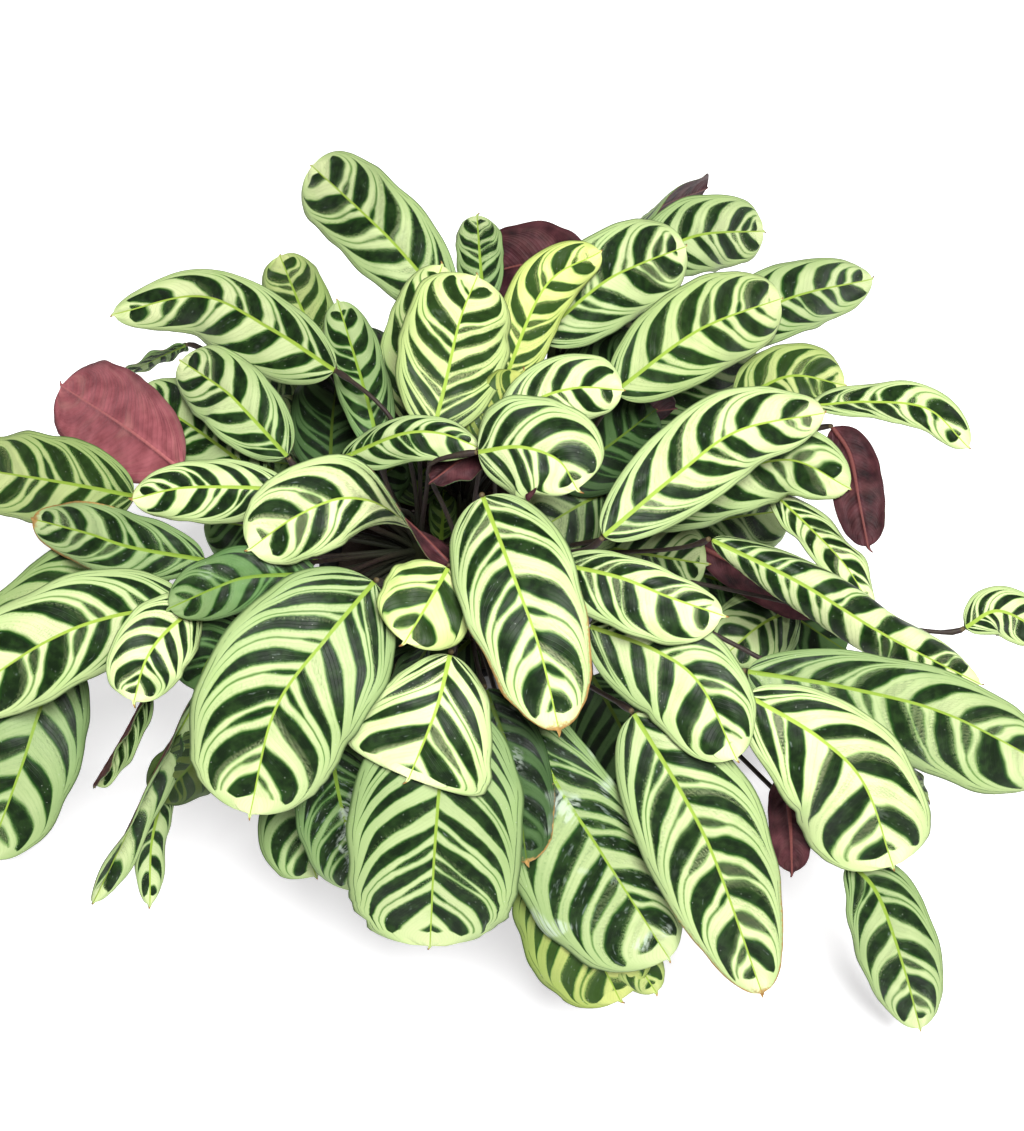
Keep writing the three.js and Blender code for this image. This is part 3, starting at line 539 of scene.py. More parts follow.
# Leaves tucked under the others, the uppermost first. Each lies under the leaf it names and all
# that lie over that one. Those that name leaf_back_06, the hindmost, are low leaves under all the
# rest, which fill the plant's dark inside. A leaf that names none lies where its points put it.
TUCKED = [
    leaf("tucked_left_13", 44, [(330, 478, -48), (332, 424, -44), (338, 366, -44)],
         under="leaf_left_01", tone=-0.5),
    leaf("tucked_right_07", 44, [(552, 480, -44), (600, 452, -38), (655, 410, -40)],
         under="leaf_right_05", tone=-0.5),
    leaf("tucked_back_01", 34, [(325, 360, -20), (300, 305, -16), (280, 256, -20)],
         under="leaf_left_03", tone=0.45, yellow=0.4),
    leaf("tucked_left_01", 40, [(262, 478, -16), (200, 432, -14), (139, 392, -16)],
         under="leaf_left_04"),
    leaf("tucked_left_02", 22, [(186, 345, -20, 60), (158, 358, -22, 70), (127, 374, -26, 70)],
         under="leaf_left_03", tone=0.3),
    leaf("tucked_left_03", 26, [(330, 452, -18), (292, 424, -14), (262, 408, -16)],
         under="leaf_left_04", tone=0.35),
    leaf("tucked_left_04", 34, [(326, 450, -26), (275, 405, -24), (236, 366, -26)],
         under="leaf_left_04", tone=0.3, bands=6),
    leaf("tucked_left_05", 34, [(352, 500, -20), (322, 470, -16), (275, 462, -20)],
         under="leaf_left_08", tone=-0.3, yellow=0.2),
    leaf("tucked_left_06", 30, [(345, 372, -30), (318, 388, -26), (292, 408, -30)],
         under="leaf_left_03", tone=0.3, yellow=0.3, bands=4),
    leaf("tucked_left_07", 42, [(318, 560, -30), (262, 530, -24), (205, 520, -28)],
         under="leaf_left_08", tone=-0.1, bands=6),
    leaf("tucked_left_09", 34, [(250, 630, -20), (212, 656, -22), (196, 690, -30)],
         under="leaf_left_14", tone=-0.3, bands=4),
    leaf("tucked_left_10", 32, [(222, 728, -44, 20), (192, 764, -52, 20), (159, 800, -62, 20)],
         under="leaf_left_14", tone=-0.5, yellow=0.8),
    leaf("tucked_left_11", 44, [(330, 500, -44), (240, 455, -40), (170, 440, -40)],
         under="leaf_left_08", tone=-0.3, bands=6),
    leaf("tucked_left_12", 40, [(300, 600, -36), (240, 640, -34), (200, 640, -34)],
         under="leaf_left_13", tone=-0.3, bands=6),
    leaf("tucked_centre_01", 28, [(484, 450, -4), (495, 415, 4), (523, 374, 8)],
         under="leaf_centre_02", tone=0.3, yellow=1),
    leaf("tucked_centre_02", 28, [(350, 498, -34), (378, 478, -30), (404, 460, -30)],
         under="leaf_centre_03", tone=-0.4),
    leaf("tucked_centre_03", 26, [(418, 506, -40), (418, 484, -34), (432, 456, -30)],
         under="leaf_centre_03", tone=-0.4, yellow=0.4, bands=4),
    leaf("tucked_centre_04", 14, [(441, 540, -50), (443, 515, -40), (443, 488, -36)],
         under="leaf_centre_03", tone=-0.15, yellow=0.6, bands=4),
    leaf("tucked_centre_05", 50, [(614, 488, -16), (585, 502, -14), (538, 530, -20)],
         under="leaf_right_06", tone=0.35, bands=4),
    leaf("tucked_centre_06", 22, [(500, 452, -10, 150), (470, 456, -8, 150), (432, 482, -10, 140)],
         under=None, tone=-0.4, bands=4),
    leaf("tucked_right_01", 40, [(596, 546, -20), (650, 555, -14), (706, 564, -18)],
         under="leaf_right_14", least=0.96, tone=0.4),
    leaf("tucked_right_02", 24, [(700, 546, -26, 180), (750, 572, -20, 180), (822, 612, -22, 180)],
         under="leaf_right_07", tone=0, bands=6),
    leaf("tucked_right_03", 38, [(798, 608, -24), (762, 624, -20), (724, 656, -26)],
         under="leaf_right_13", bands=4),
    leaf("tucked_right_04", 48, [(690, 570, -34), (760, 596, -30), (845, 650, -34)],
         under="leaf_right_07", tone=-0.3, bands=7),
    leaf("tucked_right_05", 26, [(596, 432, -22, 150), (636, 414, -18, 140), (674, 408, -20, 130)],
         under="leaf_right_06", tone=-0.4, bands=4),
    leaf("tucked_right_06", 46, [(660, 700, -40), (740, 690, -36), (800, 720, -40)],
         under="leaf_right_12", tone=-0.4, bands=6),
    leaf("tucked_front_01", 42, [(330, 770, -50), (302, 826, -60), (316, 876, -74)],
         under="leaf_front_03", tone=0.3, bands=4),
    leaf("tucked_right_10", 12, [(903, 750, -34, 60), (914, 775, -38, 60), (928, 798, -44, 60)],
         under="leaf_right_11", tone=0.2),
    leaf("tucked_front_06", 26, [(585, 890, -60), (622, 940, -68), (656, 992, -80)],
         under="leaf_front_05", tone=0.4, yellow=0.6),
    leaf("tucked_front_02", 26, [(372, 730, -36), (352, 752, -38), (330, 792, -46)],
         under="leaf_left_14", tone=-0.4, yellow=0.5, bands=4, brown=0.5),
    leaf("tucked_front_03", 24, [(428, 646, -26, 50), (402, 688, -28, 50), (372, 732, -36, 50)],
         under="leaf_front_09", tone=-0.5),
    leaf("tucked_front_04", 50, [(470, 640, -50), (420, 690, -54), (390, 760, -60)],
         under="leaf_front_09", tone=-0.5, bands=6),
    leaf("tucked_front_05", 54, [(592, 676, -44), (620, 726, -46), (652, 796, -56)],
         under="leaf_right_13", tone=-0.5, bands=6),
    leaf("tucked_back_02", 46, [(560, 420, -44), (600, 380, -40), (650, 350, -40)],
         under="leaf_back_10", tone=-0.4, bands=6),
    leaf("tucked_back_03", 46, [(480, 420, -44), (500, 350, -40), (500, 300, -40)],
         under="leaf_back_10", tone=-0.4, bands=6),
    leaf("tucked_back_04", 46, [(400, 440, -44), (370, 380, -40), (350, 330, -44)],
         under="leaf_back_09", tone=-0.4, bands=6),
    leaf("tucked_back_05", 46, [(500, 400, -60), (470, 330, -56), (440, 286, -60)],
         under="leaf_back_06", tone=0.3),
    leaf("tucked_back_06", 46, [(560, 400, -60), (600, 340, -56), (640, 300, -60)],
         under="leaf_back_06", tone=0.3),
    leaf("tucked_back_07", 44, [(640, 420, -56), (700, 370, -54), (750, 330, -58)],
         under="leaf_back_06", tone=0.35),
    leaf("tucked_back_08", 46, [(420, 430, -60), (350, 370, -56), (270, 330, -60)],
         under="leaf_back_06", tone=0.35),
    leaf("tucked_back_09", 42, [(680, 480, -56), (740, 430, -54), (810, 410, -58)],
         under="leaf_back_06", tone=0.4),
    leaf("tucked_back_10", 42, [(380, 470, -60), (300, 430, -56), (220, 410, -60)],
         under="leaf_back_06", tone=0.4),
    leaf("tucked_right_08", 44, [(660, 540, -66), (720, 520, -62), (790, 510, -66)],
         under="leaf_back_06", tone=0.3),
    leaf("tucked_right_09", 46, [(640, 640, -70), (720, 650, -66), (800, 690, -70)],
         under="leaf_back_06", tone=0.3),
    leaf("tucked_left_15", 46, [(350, 620, -70), (290, 650, -66), (230, 700, -76)],
         under="leaf_back_06", tone=0.3),
]


def placed(x, y, h):
    """A pixel of the photograph, on the surface that lies h over the canopy's dome."""
    ray = forward * PHOTO_FOCAL + rightward * (x - PHOTO_WIDTH / 2) + upward * (PHOTO_HEIGHT / 2 - y)
    height = DOME_TOP
    for _ in range(DOME_PASSES):
        point = viewer + ray * (height - viewer[2]) / ray[2]
        depth = point[1] * DOME_BACK_STRETCH if point[1] > 0 else point[1]
        reach = math.hypot(point[0], depth) / DOME_RADIUS
        height = (height + DOME_TOP - DOME_DROP * reach * reach + h * MM) / 2
    return point


def through(points, places):
    """Points of the smooth curve through some points, at places from 0 to 1."""
    padded = np.vstack([2 * points[0] - points[1], points, 2 * points[-1] - points[-2]])
    spots = np.clip(places, 0, 1) * (len(points) - 1)
    first = np.minimum(spots.astype(int), len(points) - 2)
    w = (spots - first)[:, None]
    before, start, end, after = (padded[first + i] for i in range(4))
    leaving = (end - before) / 2
    arriving = (after - start) / 2
    bend = 3 * (end - start) - 2 * leaving - arriving
    return start + leaving * w + bend * w ** 2 + (2 * (start - end) + leaving + arriving) * w ** 3


def gaps(points):
    return np.linalg.norm(np.diff(points, axis=0), axis=1)


def by_length(curve, points, shares):
    """Places on a curve where the given shares of its length are reached."""
    steps = np.linspace(0, 1, ARC_STEPS + 1)
    arc = gaps(curve(points, steps))
    return np.interp(shares, np.concatenate([[0], np.cumsum(arc)]) / arc.sum(), steps)


def unit(vectors):
    return vectors / np.linalg.norm(vectors, axis=-1, keepdims=True)


def outline(leaf, s):
    """Half the blade's width at s along the midrib, as a share of the widest."""
    beyond = s > leaf["widest"]
    reach = np.where(beyond, (s - leaf["widest"]) / (1 - leaf["widest"]), 1 - s / leaf["widest"])
    power = np.where(beyond, leaf["tip"], leaf["base"])
    return np.sqrt(np.maximum(0, 1 - np.clip(reach, 0, 1) ** power))


def half_width(leaf, s):
    return np.maximum(leaf["width"] * MM / 2 * outline(leaf, s), BLADE_END_HALF_WIDTH)


def blade_points(leaf, s, t, lift):
    """Points s along the midrib, t across from -1 to 1 and lift over the middle of the sheet."""
    midrib = np.array([placed(x, y, h) for x, y, h, *_ in leaf["midrib"]])
    rolls = np.array([roll or [0] for _, _, _, *roll in leaf["midrib"]], float)
    places = by_length(through, midrib, s)
    spine = through(midrib, places)
    along = unit(through(midrib, places + HEADING_STEP) - through(midrib, places - HEADING_STEP))
    roll = np.radians(through(rolls, places))
    side = unit(np.cross(along, viewer - spine))
    face = np.cross(side, along)
    across = side * np.cos(roll) + face * np.sin(roll)
    out = face * np.cos(roll) - side * np.sin(roll)
    sign = np.sign(t)
    reach = np.abs(t) * half_width(leaf, s) * (1 - leaf["skew"] * sign)
    lean = np.radians(leaf["fold"] + leaf["curl"] * np.abs(t))
    chord = np.radians(leaf["fold"] + leaf["curl"] * np.abs(t) / 2)
    turn = 2 * math.pi * WAVE_COUNT * s + 2 * t + leaf["width"]
    ripple = leaf["wave"] * MM * outline(leaf, s) * t * t * np.sin(turn)
    sideways = reach * np.cos(chord) - lift * np.sin(lean)
    outward = reach * np.sin(chord) + lift * np.cos(lean) + ripple
    points = spine + across * (sideways * sign)[:, None] + out * outward[:, None]
    return viewer + (points - viewer) * leaf.get("closer", 1)


def midrib_points(leaf, *places):
    """Points in the middle of the sheet, on the midrib."""
    return blade_points(leaf, np.array(places, float), np.zeros(len(places)), 0)


def diagonal(points):
    return np.linalg.norm(points.max(0) - points.min(0))


def drawn_closer(leaf):
    """How far the CAD drew this leaf along its lines of sight, to lie clear of the others."""
    rows = (1 - np.cos(math.pi * np.arange(CAD_ROWS + 1) / CAD_ROWS)) / 2
    strips = np.linspace(-1, 1, CAD_STRIPS + 1)
    faces = np.array((-BLADE_THICKNESS / 2, BLADE_THICKNESS / 2))
    corners = [grid.ravel() for grid in np.meshgrid(rows, strips, faces)]
    low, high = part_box(leaf["name"])
    return (high - low).length / diagonal(blade_points(leaf, *corners))


for each in LEAVES:
    each["closer"] = drawn_closer(each)
    each.update(each["finer"])


# A tucked leaf is pushed away until it is behind what lies over it. That is worked out on the
# picture, in square cells of so many pixels, with spare cells round it for what it cuts off.
CELL = 5
CELL_MARGIN = 60
SPREAD_ROWS = 81
SPREAD_STRIPS = 41
TUCK_CLEARANCE = 2 * MM


def picture(points):
    """The picture cells that points fall in, and their distances along the line of sight."""
    away = points - viewer
    depth = away @ forward
    x = PHOTO_WIDTH / 2 + PHOTO_FOCAL * (away @ rightward) / depth
    y = PHOTO_HEIGHT / 2 - PHOTO_FOCAL * (away @ upward) / depth
    cells = np.floor(np.stack([y, x]) / CELL).astype(int) + CELL_MARGIN
    return tuple(cells), depth


def spread(leaf):
    """The picture cells that a leaf covers, and how far away it is in them."""
    grids = np.meshgrid(np.linspace(0, 1, SPREAD_ROWS), np.linspace(-1, 1, SPREAD_STRIPS))
    s, t = (grid.ravel() for grid in grids)
    return picture(blade_points(leaf, s, t, 0))


def farthest(leaf):
    """For each cell of the picture, how far away the leaf reaches in it."""
    size = [side // CELL + 2 * CELL_MARGIN for side in (PHOTO_HEIGHT, PHOTO_WIDTH)]
    far = np.full(size, -np.inf)
    cells, depth = spread(leaf)
    np.maximum.at(far, cells, depth)
    return far


def tuck(leaf, over):
    """Pushes a leaf away along its lines of sight until it is behind everything over it."""
    cells, depth = spread(leaf)
    leaf["closer"] = max(leaf["least"], float(((over[cells] + TUCK_CLEARANCE) / depth).max()))


layers = [farthest(each) for each in LEAVES]
order = [each["name"] for each in LEAVES]
tucked_cover = np.full_like(layers[0], -np.inf)
for each in TUCKED:
    if not each["under"]:
        continue
    over = np.maximum.reduce(layers[order.index(each["under"]):] + [tucked_cover])
    tuck(each, over)
    tucked_cover = np.maximum(tucked_cover, farthest(each))


# Shoots: four crowns stand in the mix round the middle of the pot. A crown is the sheathed feet of
# its leaf stalks, pressed together; each stalk is a thin round purple-brown petiole that ends in
# a swollen knuckle, which turns the blade to the light, right under the blade's base.
SHOOTS = ["shoot_right", "shoot_back", "shoot_left", "shoot_front"]
SHOOT_RING_RADIUS = 24 * MM
CROWN_FOOT = 118.3 * MM
CROWN_RADIUS = 9 * MM
CROWN_HEIGHT = 26 * MM
SHEATHS_PER_CROWN = 7
STALK_RADIUS = 1.25 * MM
STALK_GAP = 0.3 * MM
STALK_RISES = (40 * MM, 70 * MM, 100 * MM, 20 * MM)
STALK_LEANS = (0.3, 0.1, 0.6, -0.1)
STALK_RUNS = (14 * MM, 30 * MM, 50 * MM)
STALK_SAGS = (0, 12 * MM, 26 * MM)
TUCKED_BENDS = ((30 * MM, 0.3), (45 * MM, 0.6), (70 * MM, 0.8), (80 * MM, 1.1), (95 * MM, 1.4))
RIM_CLEARANCE = 4 * MM
OPEN_STATIONS = 30
STALK_STATIONS = np.array((3, 4, 5, 6, 7)) / 8
BLADE_START = 0.02
KNUCKLE_LENGTH = 11 * MM
KNUCKLE_RADIUS = 1.7 * MM
STALK_TAPER = 45 * MM
UNLIKE_ANY_STALK = (0.3, 0.9, 0.1)
SHEATH_WRAP = math.radians(105)
SHEATH_STEP = 2.4
SHEATH_SKIN = 0.5 * MM


def given(place, name):
    """A number that the piece's own mesh carries from point to point."""
    return place.node("Attribute", {"attribute_name": name}, output=2)


def drawn_up(place, share):
    """Places for a grain that is drawn out upwards."""
    return place.node("VectorMath", {"operation": "MULTIPLY"}, {0: place, 1: (1, 1, share)})


def paint_stalk(place):
    along = given(place, "along")
    fuzz = grain(place, 1.1 * MM, 3)
    streaks = grain(drawn_up(place, 0.15), 1.6 * MM, 2)
    bronze = tint(fade(streaks, 0.35, 0.7), linear(40, 23, 21), linear(48, 40, 24))
    foot = tint(fade(along, 0.5, 0.12), bronze, linear(34, 38, 20))
    knuckle = fade(along, 0.955, 0.975)
    return {
        "Base Color": tint(knuckle, foot, linear(84, 70, 40)),
        "Roughness": 0.5 + fuzz * 0.3,
        "Normal": bumps(streaks, 0.5, 0.15 * MM),
    }


def paint_sheath(place):
    ribs = grain(drawn_up(place, 0.06), 1.3 * MM, 2)
    low = fade(along_axis(place, 2), CROWN_FOOT + 14 * MM, CROWN_FOOT)
    green = tint(ribs, linear(24, 28, 14), linear(52, 56, 30))
    return {
        "Base Color": tint(low, green, linear(34, 18, 16)),
        "Roughness": 0.45 + ribs * 0.2,
        "Normal": bumps(ribs, 0.6, 0.3 * MM),
    }


def bezier(corners, places):
    a, b, c, d = (np.array(corner) for corner in corners)
    u = places[:, None]
    return a * (1 - u) ** 3 + 3 * b * u * (1 - u) ** 2 + 3 * c * u * u * (1 - u) + d * u ** 3


def evenly(corners, shares):
    """Points of a cubic Bezier at shares of its length."""
    return bezier(corners, by_length(bezier, corners, shares))


def crown_of(name):
    """The side of the pot that a shoot stands on, as a turn, and the place of its crown."""
    turn = 2 * math.pi * SHOOTS.index(name) / len(SHOOTS)
    return turn, SHOOT_RING_RADIUS * np.array((math.cos(turn), math.sin(turn), 0))


def shoot_of(base):
    """The shoot on a leaf's side of the pot, and the middle of its crown."""
    quarter = math.atan2(base[1], base[0]) / (2 * math.pi) * len(SHOOTS)
    name = SHOOTS[math.floor(quarter + 0.5) % len(SHOOTS)]
    _, foot = crown_of(name)
    return name, foot + np.array((0, 0, CROWN_FOOT + CROWN_HEIGHT / 2))


def stalk_route(crown, base, heading, rise, lean, run, sag):
    """The corners of a stalk's curve, from its crown up and over to the blade's base."""
    arriving = base - heading * run - np.array((0, 0, sag))
    slant = math.acos(min(1, float(unit(base - arriving) @ heading)))
    end = base - heading * (STALK_GAP + STALK_RADIUS * math.sin(slant))
    rising = crown + (base - crown) * lean
    rising[2] = crown[2] + rise
    return crown, rising, arriving, end


def cad_route(crown, base, heading, tree):
    """The one route whose middle stations lie in the CAD's stalk, a stalk's radius from its skin."""
    def miss(route):
        stations = evenly(route, STALK_STATIONS)
        return sum(abs(tree.find(station)[2] - STALK_RADIUS) for station in stations)

    bends = itertools.product(STALK_RISES, STALK_LEANS, STALK_RUNS, STALK_SAGS)
    return min((stalk_route(crown, base, heading, *bend) for bend in bends), key=miss)


def open_route(crown, base, heading):
    """The lowest route of a tucked leaf's stalk that passes over the pot's rim and misses it."""
    for rise, lean in TUCKED_BENDS:
        route = stalk_route(crown, base, heading, rise, lean, STALK_RUNS[0], STALK_SAGS[0])
        stations = evenly(route, np.linspace(0, 1, OPEN_STATIONS))
        reach = np.hypot(stations[:, 0], stations[:, 1])
        low = stations[:, 2] < POT_HEIGHT + RIM_CLEARANCE
        over_rim = (reach > SHOOT_RING_RADIUS * 2) & (reach < POT_RIM_RADIUS + RIM_CLEARANCE)
        if not (low & over_rim).any():
            break
    return route


def tube(path, radii, sides):
    """A round tube along a path: a flat grid, rolled up and closed at both ends."""
    mesh = bmesh.new()
    bmesh.ops.create_grid(mesh, x_segments=sides, y_segments=len(path) - 1, size=1)
    along = unit(np.gradient(path, axis=0))
    normal = np.cross(along[0], UNLIKE_ANY_STALK)
    frames = []
    for direction in along:
        normal = unit(normal - direction * (normal @ direction))
        frames.append((normal, np.cross(direction, normal)))
    shares = mesh.verts.layers.float.new("along")
    for vert in mesh.verts:
        turn = math.pi * vert.co.x
        row = round((vert.co.y + 1) / 2 * (len(path) - 1))
        first, second = frames[row]
        vert.co = path[row] + radii[row] * (math.cos(turn) * first + math.sin(turn) * second)
        vert[shares] = row / (len(path) - 1)
    bmesh.ops.remove_doubles(mesh, verts=mesh.verts, dist=0.001 * MM)
    bmesh.ops.holes_fill(mesh, edges=mesh.edges, sides=sides)
    bmesh.ops.recalc_face_normals(mesh, faces=mesh.faces)
    return mesh


def petiole(corners, chance, rows=26, sides=10):
    """A stalk along its route: thick where its sheath ends, slim, and swollen at the knuckle."""
    shares = np.linspace(0, 1, rows)
    shares = np.where(shares > 0.5, 1 - (1 - shares) ** 1.6 * 0.5 ** -0.6, shares)
    path = evenly(corners, shares)
    length = gaps(path).sum()
    left = (1 - shares) * length
    taper = 1.75 - 0.75 * np.minimum(1, shares * length / STALK_TAPER)
    slim = STALK_RADIUS * chance.uniform(0.86, 1)
    swelling = (left - KNUCKLE_LENGTH * 0.55) / (KNUCKLE_LENGTH * 0.42)
    bulge = (KNUCKLE_RADIUS - slim) * np.exp(-(swelling ** 4))
    return tube(path, slim * taper + bulge, sides)


def sheath(crown, turn, chance):
    """One boat-shaped sheath of a crown, open on its inner side and pointed on top."""
    mesh = bmesh.new()
    bmesh.ops.create_grid(mesh, x_segments=10, y_segments=12, size=1)
    height = CROWN_HEIGHT * chance.uniform(0.75, 1.5)
    reach = CROWN_RADIUS * chance.uniform(0.45, 0.75)
    for vert in mesh.verts:
        up = (vert.co.y + 1) / 2
        around = vert.co.x * SHEATH_WRAP * (1 - 0.75 * up ** 3)
        radius = reach * (1 - 0.72 * up) * 0.9
        middle = CROWN_RADIUS * 0.42 * (1 - up * 0.6)
        x = middle * math.cos(turn) + radius * math.cos(turn + around)
        y = middle * math.sin(turn) + radius * math.sin(turn + around)
        vert.co = (crown[0] + x, crown[1] + y, CROWN_FOOT - 1 * MM + height * up)
    bmesh.ops.recalc_face_normals(mesh, faces=mesh.faces)
    bmesh.ops.solidify(mesh, geom=mesh.faces[:], thickness=SHEATH_SKIN)
    return mesh


def blade_base(leaf):
    """Where a blade meets its stalk, and the way its midrib sets off."""
    start, ahead = midrib_points(leaf, 0, BLADE_START)
    return start, unit(ahead - start)


stalk_skin = finish("stalk", paint_stalk)
sheath_skin = finish("sheath", paint_sheath)
trees = {}
for name in SHOOTS:
    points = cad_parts[name].data.vertices
    trees[name] = kdtree.KDTree(len(points))
    for i, point in enumerate(points):
        trees[name].insert(point.co, i)
    trees[name].balance()
stalks = {name: bmesh.new() for name in SHOOTS}
chance = random.Random("stalks")
for each in LEAVES:
    base, heading = blade_base(each)
    name, crown = shoot_of(base)
    route = cad_route(crown, base, heading, trees[name])
    join(stalks[name], petiole(route, chance))
for each in TUCKED:
    base, heading = blade_base(each)
    name, crown = shoot_of(base)
    join(stalks[name], petiole(open_route(crown, base, heading), chance))
for name in SHOOTS:
    turn, foot = crown_of(name)
    whole = bmesh.new()
    for i in range(SHEATHS_PER_CROWN):
        join(whole, sheath(foot, turn + i * SHEATH_STEP, chance))
    piece(name + "_sheaths", whole, [sheath_skin])
    piece(name + "_stalks", stalks[name], [stalk_skin], [name])


# Blades: one thin sheet each, with a raised midrib below and a groove above, faint pleats along
# the side veins, a hooked point at the tip, pale green with dark fishbone bands on the upper face
# and maroon on the lower. Each replaces its own CAD blade.
BLADE_SHEET = 0.4 * MM
MIDRIB_DEPTH = 1.1 * MM
MIDRIB_WIDTH = 1.0 * MM
GROOVE_DEPTH = 0.35 * MM
PLEAT_DEPTH = 0.25 * MM
PLEATS_PER_BAND = 2
BUCKLE = 1.8 * MM
TAIL_ROWS = 3
TAIL_LENGTH = 3.2 * MM
TAIL_HEADING_FROM = 0.96
VEIN_LEAN = 0.62
VEIN_SWEEP = 0.046
VEIN_LIMIT = 1.08
CROWDING = 0.35
BAND_EDGE = 0.018
BAND_HALF = 0.205
BAND_HALF_MORE = 0.09
PATTERN_END = (0.92, 0.98)
MARGIN_WANDER = 0.065
TEAR_DEPTH = 0.16
LENGTH_STATIONS = 9


def veins_at(s, a, slant):
    """Which side vein a place is on, by where that vein leaves the midrib: side veins slant to the
    tip, and sweep round along the margin."""
    return s - a * slant - a * a * a * VEIN_SWEEP / (VEIN_LIMIT - a)


def placed_on_blade(place):
    """How far along the midrib, from 0 to 1, and how far across, from -1 to 1."""
    blade = place.node("UVMap", {"uv_map": "blade"})
    return along_axis(blade, 0), along_axis(blade, 1) * 2 - 1


def dark_bands(place, s, a, side, phase, chance):
    """The fishbone pattern: how dark a place is, and how far it is inside a band's edge."""
    def unlike(cell, salt):
        """Three random numbers for each cell of each half of each leaf."""
        key = place.node("CombineXYZ", {}, {0: cell, 1: side * 17 + salt, 2: chance * 131})
        drawn = place.node("TexWhiteNoise", {"noise_dimensions": "3D"}, {"Vector": key}, output=1)
        return [place.node("SeparateColor", {}, {0: drawn}, output=i) for i in range(3)]

    # Long bands, one in each cell: blunt at the midrib, widest a third of the way across, and
    # now and then drawn out into a thin line where they sweep along the margin.
    cell = phase.math("FLOOR")
    shift, width, _ = unlike(cell, 0)
    off = abs(phase - cell - 0.5 + (shift - 0.5) * 0.2)
    profile = (fade(a, 0.0, 0.36) * 0.36 + 0.64) * (1 - fade(a, 0.66, 0.93))
    half = width * BAND_HALF_MORE + BAND_HALF
    inside = profile * half - off - fade(s, *PATTERN_END)
    tail = fade(0.016 - off, -0.012, 0.012) * (a > 0.5) * (1 - fade(a, 0.8, 0.92)) * (width > 0.6)
    long_band = fade(inside, -BAND_EDGE, BAND_EDGE).math("MAXIMUM", tail * 0.5)

    # Short bands between them: lenses that start at the midrib, missing here and there.
    near = (phase + 0.5).math("FLOOR")
    size, there, _ = unlike(near, 5)
    taper = (1 - (a / (size * 0.52 + 0.16)).math("POWER", 2)).math("MAXIMUM", 0).math("POWER", 0.8)
    lens = taper * (fade(a, 0.0, 0.14) * 0.4 + 0.6) * (size * 0.11 + 0.045)
    inset = lens - abs(phase - near) - (there > 0.62) - fade(s, *PATTERN_END)
    dark = long_band.math("MAXIMUM", fade(inset, -BAND_EDGE, BAND_EDGE))
    return dark, inside.math("MAXIMUM", inset)


